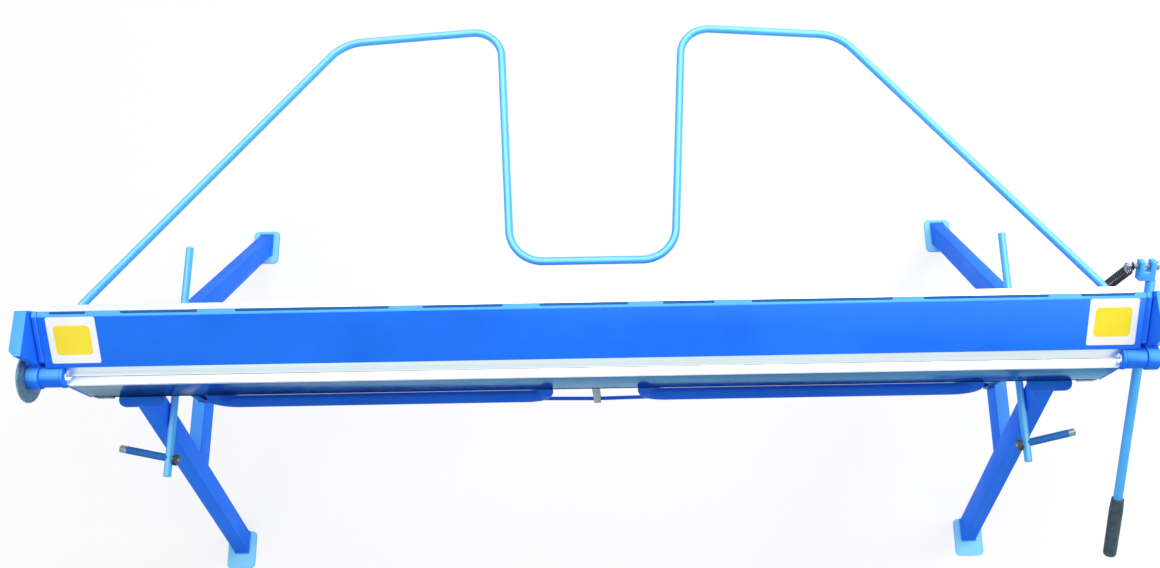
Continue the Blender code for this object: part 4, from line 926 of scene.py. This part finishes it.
def make_scale():
    """Ticks and plain numbers on the outer face of the angle scale."""
    low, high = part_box("angle_disc")
    face_x = low.x
    count = round(math.radians(135.0) / TICK_STEP)
    for step in range(count + 1):
        angle = math.pi + step * TICK_STEP
        long_tick = step % TICK_LONG_EVERY == 0
        inner = TICK_OUT_R - (TICK_LONG if long_tick else TICK_SHORT)
        corner = Vector((TICK_T, TICK_OUT_R - inner, TICK_WIDE))
        tick = box_mesh("scale_tick_%02d" % step, -corner / 2, corner / 2, [MARK_INK])
        turn = Matrix.Rotation(-(angle - math.pi), 4, "X")
        shift = Matrix.Translation((0, -(inner + TICK_OUT_R) / 2, 0))
        place = Matrix.Translation((face_x - TICK_T / 2, BEND_Y, BEND_Z))
        tick.data.transform(place @ turn @ shift)
        settle(tick, "stand", "dark_steel")
    for number in NUMBERS:
        angle = math.radians(number)
        curve = bpy.data.curves.new("scale_number_%d" % number, "FONT")
        curve.body = str(number)
        curve.size = NUMBER_SIZE
        curve.align_x = "CENTER"
        curve.align_y = "CENTER"
        curve.extrude = TICK_T / 2
        text = add_text("scale_number_%d" % number, curve)
        y = BEND_Y - NUMBER_R * math.cos(angle)
        z = BEND_Z + NUMBER_R * math.sin(angle)
        spot = Matrix.Translation((face_x - TICK_T / 2, y, z))
        facing = Matrix.Rotation(-math.pi / 2, 4, "Z") @ Matrix.Rotation(math.pi / 2, 4, "X")
        text.matrix_world = spot @ facing
        settle(text, "stand", "dark_steel")


def add_text(name, curve):
    thing = bpy.data.objects.new(name, curve)
    bpy.context.scene.collection.objects.link(thing)
    curve.materials.append(MARK_INK)
    return thing


# Rounded copies of the nodes with flat faces
def make_flat_pieces():
    for name, _ in SIDES:
        for node in ("front_leg_", "rear_leg_"):
            rounded(node + name, 0.0030, "blue_paint", BLUE, segments=4)
        rounded("crossbar_" + name, 0.0025, "blue_paint", BLUE)
        for node in ("front_foot_", "rear_foot_"):
            rounded(node + name, 0.0010, "pale_blue_paint", LIT_BLUE)
        rounded("end_cheek_" + name, 0.0012, "blue_paint", BLUE)
        rounded("clamp_arm_" + name, 0.0010, "blue_paint", BLUE)
        rounded("fold_end_" + name, 0.0012, "blue_paint", BLUE)
        rounded("support_flange_" + name, 0.0008, "blue_paint", BLUE)
        rounded("peg_nut_" + name, 0.0006, "dark_steel", DARK_STEEL)
        rounded("eccentric_" + name, 0.0008, "grey_steel", GREY_STEEL)
    rounded("lower_beam", 0.0030, "blue_paint", BLUE)
    rounded("table_plate", 0.0008, "bare_steel", EDGE_STEEL)
    rounded("clamp_beam", 0.0016, "blue_paint", BLUE)
    rounded("clamp_blade", 0.0006, "bare_steel", BARE_STEEL)
    rounded("fold_blade", 0.0006, "bare_steel", EDGE_STEEL)
    rounded("fold_beam", 0.0010, "bare_steel", BEAM_STEEL)
    rounded("truss_post", 0.0010, "grey_steel", GREY_STEEL)
    rounded("lever_fork", 0.0010, "pale_blue_paint", LIT_BLUE)
    rounded("spring_bolt", 0.0005, "grey_steel", ZINC)
    rounded("angle_pointer", 0.0006, "grey_steel", GREY_STEEL)
    rounded("pointer_nut", 0.0008, "dark_steel", DARK_STEEL)
    rounded("angle_disc", 0.0008, "grey_steel", GREY_STEEL)
    rounded("spring_strap", 0.0006, "blue_paint", BLUE)
    for name, _ in SIDES:
        rounded("saddle_plate_" + name, 0.0010, "blue_paint", SHADED_BLUE)


def make_stand():
    make_support()
    for name, side in SIDES:
        make_bar(name, side)
        for leg in ("front", "rear"):
            outline = foot_outline(f"{leg}_leg_{name}", f"{leg}_foot_{name}")
            weld(f"{leg}_foot_weld_{name}", outline)
    make_spring()


def make_fold():
    for name, side in SIDES:
        make_handle(name, side)
        node = "hinge_pin_" + name
        make_pin("hinge_pin_round_" + name, node, PIN_R, "folding_beam", "bare_steel", BARE_STEEL)
    make_rod()


def finish_nodes():
    """Every node that still shows gets its slot's finish."""
    for node in frame["nodes"].values():
        names = [material.name.split(".")[0] for material in node.data.materials if material]
        for index, name in enumerate(names):
            node.data.materials[index] = SLOT_FINISH.get(name, GREY_STEEL)
        if not names:
            node.data.materials.append(GREY_STEEL)


# Studio
CAMERA_SPOT = (0.0708, BEND_Y - 0.5175, 3.10)
CAMERA_DOWN = math.radians(72.44)
CAMERA_ROLL = math.radians(-1.01)
CAMERA_LENS = 36.777
CAMERA_SHIFT = (-0.04155, -0.01106)
FLOOR_HALF = 14.0
FLOOR_GLOW = 0.72
WORLD_LIGHT = 0.50
TOP_LAMP = (0.4, 0.9, 4.6, 4.2, 140.0)
KEY_LAMP = (3.2, 1.6, 3.2, 1.8, 70.0)
FILL_LAMP = (-2.6, -3.0, 3.4, 2.6, 22.0)


def make_camera():
    data = bpy.data.cameras.new("camera")
    data.sensor_width = 36.0
    data.lens = CAMERA_LENS
    data.shift_x, data.shift_y = CAMERA_SHIFT
    camera = bpy.data.objects.new("camera", data)
    bpy.context.scene.collection.objects.link(camera)
    ahead = Vector((0, math.cos(CAMERA_DOWN), -math.sin(CAMERA_DOWN)))
    level = Vector((1, 0, 0))
    rise = Vector((0, math.sin(CAMERA_DOWN), math.cos(CAMERA_DOWN)))
    right = level * math.cos(CAMERA_ROLL) + rise * math.sin(CAMERA_ROLL)
    up = rise * math.cos(CAMERA_ROLL) - level * math.sin(CAMERA_ROLL)
    turn = Matrix((right, up, -ahead)).transposed().to_4x4()
    camera.matrix_world = Matrix.Translation(CAMERA_SPOT) @ turn
    bpy.context.scene.camera = camera


def make_lamp(name, x, y, z, size, power):
    data = bpy.data.lights.new(name, "AREA")
    data.size = size
    data.energy = power
    lamp = bpy.data.objects.new(name, data)
    bpy.context.scene.collection.objects.link(lamp)
    aim = Vector((0, BEND_Y, 0.5)) - Vector((x, y, z))
    lamp.matrix_world = Matrix.Translation((x, y, z)) @ aim.to_track_quat("-Z", "Y").to_matrix().to_4x4()


def make_floor():
    work = bmesh.new()
    bmesh.ops.create_grid(work, x_segments=4, y_segments=4, size=FLOOR_HALF)
    mesh = bpy.data.meshes.new("studio_floor")
    work.to_mesh(mesh)
    work.free()
    finish = Finish("studio_floor")
    stops = ((0.3, colour(0.90, 0.90, 0.90)), (0.7, colour(0.92, 0.92, 0.92)))
    finish.base(finish.ramp(finish.noise(1.5, 2.0), stops))
    finish.constants(0.0, specular=0.0)
    finish.shader.inputs["Roughness"].default_value = 0.9
    path = finish.nodes.new("ShaderNodeLightPath")
    glow = finish.nodes.new("ShaderNodeEmission")
    share = finish.nodes.new("ShaderNodeMath")
    share.operation = "MULTIPLY"
    share.inputs[1].default_value = FLOOR_GLOW
    finish.links.new(path.outputs["Is Camera Ray"], share.inputs[0])
    mixer = finish.nodes.new("ShaderNodeMixShader")
    finish.links.new(share.outputs[0], mixer.inputs[0])
    finish.links.new(finish.shader.outputs[0], mixer.inputs[1])
    finish.links.new(glow.outputs[0], mixer.inputs[2])
    output = next(node for node in finish.nodes if node.type == "OUTPUT_MATERIAL")
    finish.links.new(mixer.outputs[0], output.inputs["Surface"])
    add_object("studio_floor", mesh, [finish.material])


def make_world():
    world = bpy.data.worlds.new("studio")
    bpy.context.scene.world = world
    world.use_nodes = True
    nodes = world.node_tree.nodes
    links = world.node_tree.links
    back = nodes["Background"]
    back.inputs["Color"].default_value = (1, 1, 1, 1)
    path = nodes.new("ShaderNodeLightPath")
    seen = nodes.new("ShaderNodeMath")
    seen.operation = "MAXIMUM"
    links.new(path.outputs["Is Camera Ray"], seen.inputs[0])
    links.new(path.outputs["Is Glossy Ray"], seen.inputs[1])
    also = nodes.new("ShaderNodeMath")
    also.operation = "MAXIMUM"
    links.new(seen.outputs[0], also.inputs[0])
    links.new(path.outputs["Is Transmission Ray"], also.inputs[1])
    strength = nodes.new("ShaderNodeMapRange")
    strength.inputs["To Min"].default_value = WORLD_LIGHT
    strength.inputs["To Max"].default_value = 1.0
    links.new(also.outputs[0], strength.inputs["Value"])
    links.new(strength.outputs["Result"], back.inputs["Strength"])


make_camera()
make_world()
make_lamp("top_lamp", *TOP_LAMP)
make_lamp("key_lamp", *KEY_LAMP)
make_lamp("fill_lamp", *FILL_LAMP)
make_floor()
finish_nodes()
make_stand()
make_fold()
make_lever()
make_pin("cross_shaft_round", "cross_shaft", SHAFT_R, "clamp_drive", "bare_steel", BARE_STEEL)
make_flat_pieces()
make_plates()
make_stops()
make_scale()
bpy.context.scene.view_settings.view_transform = "Standard"
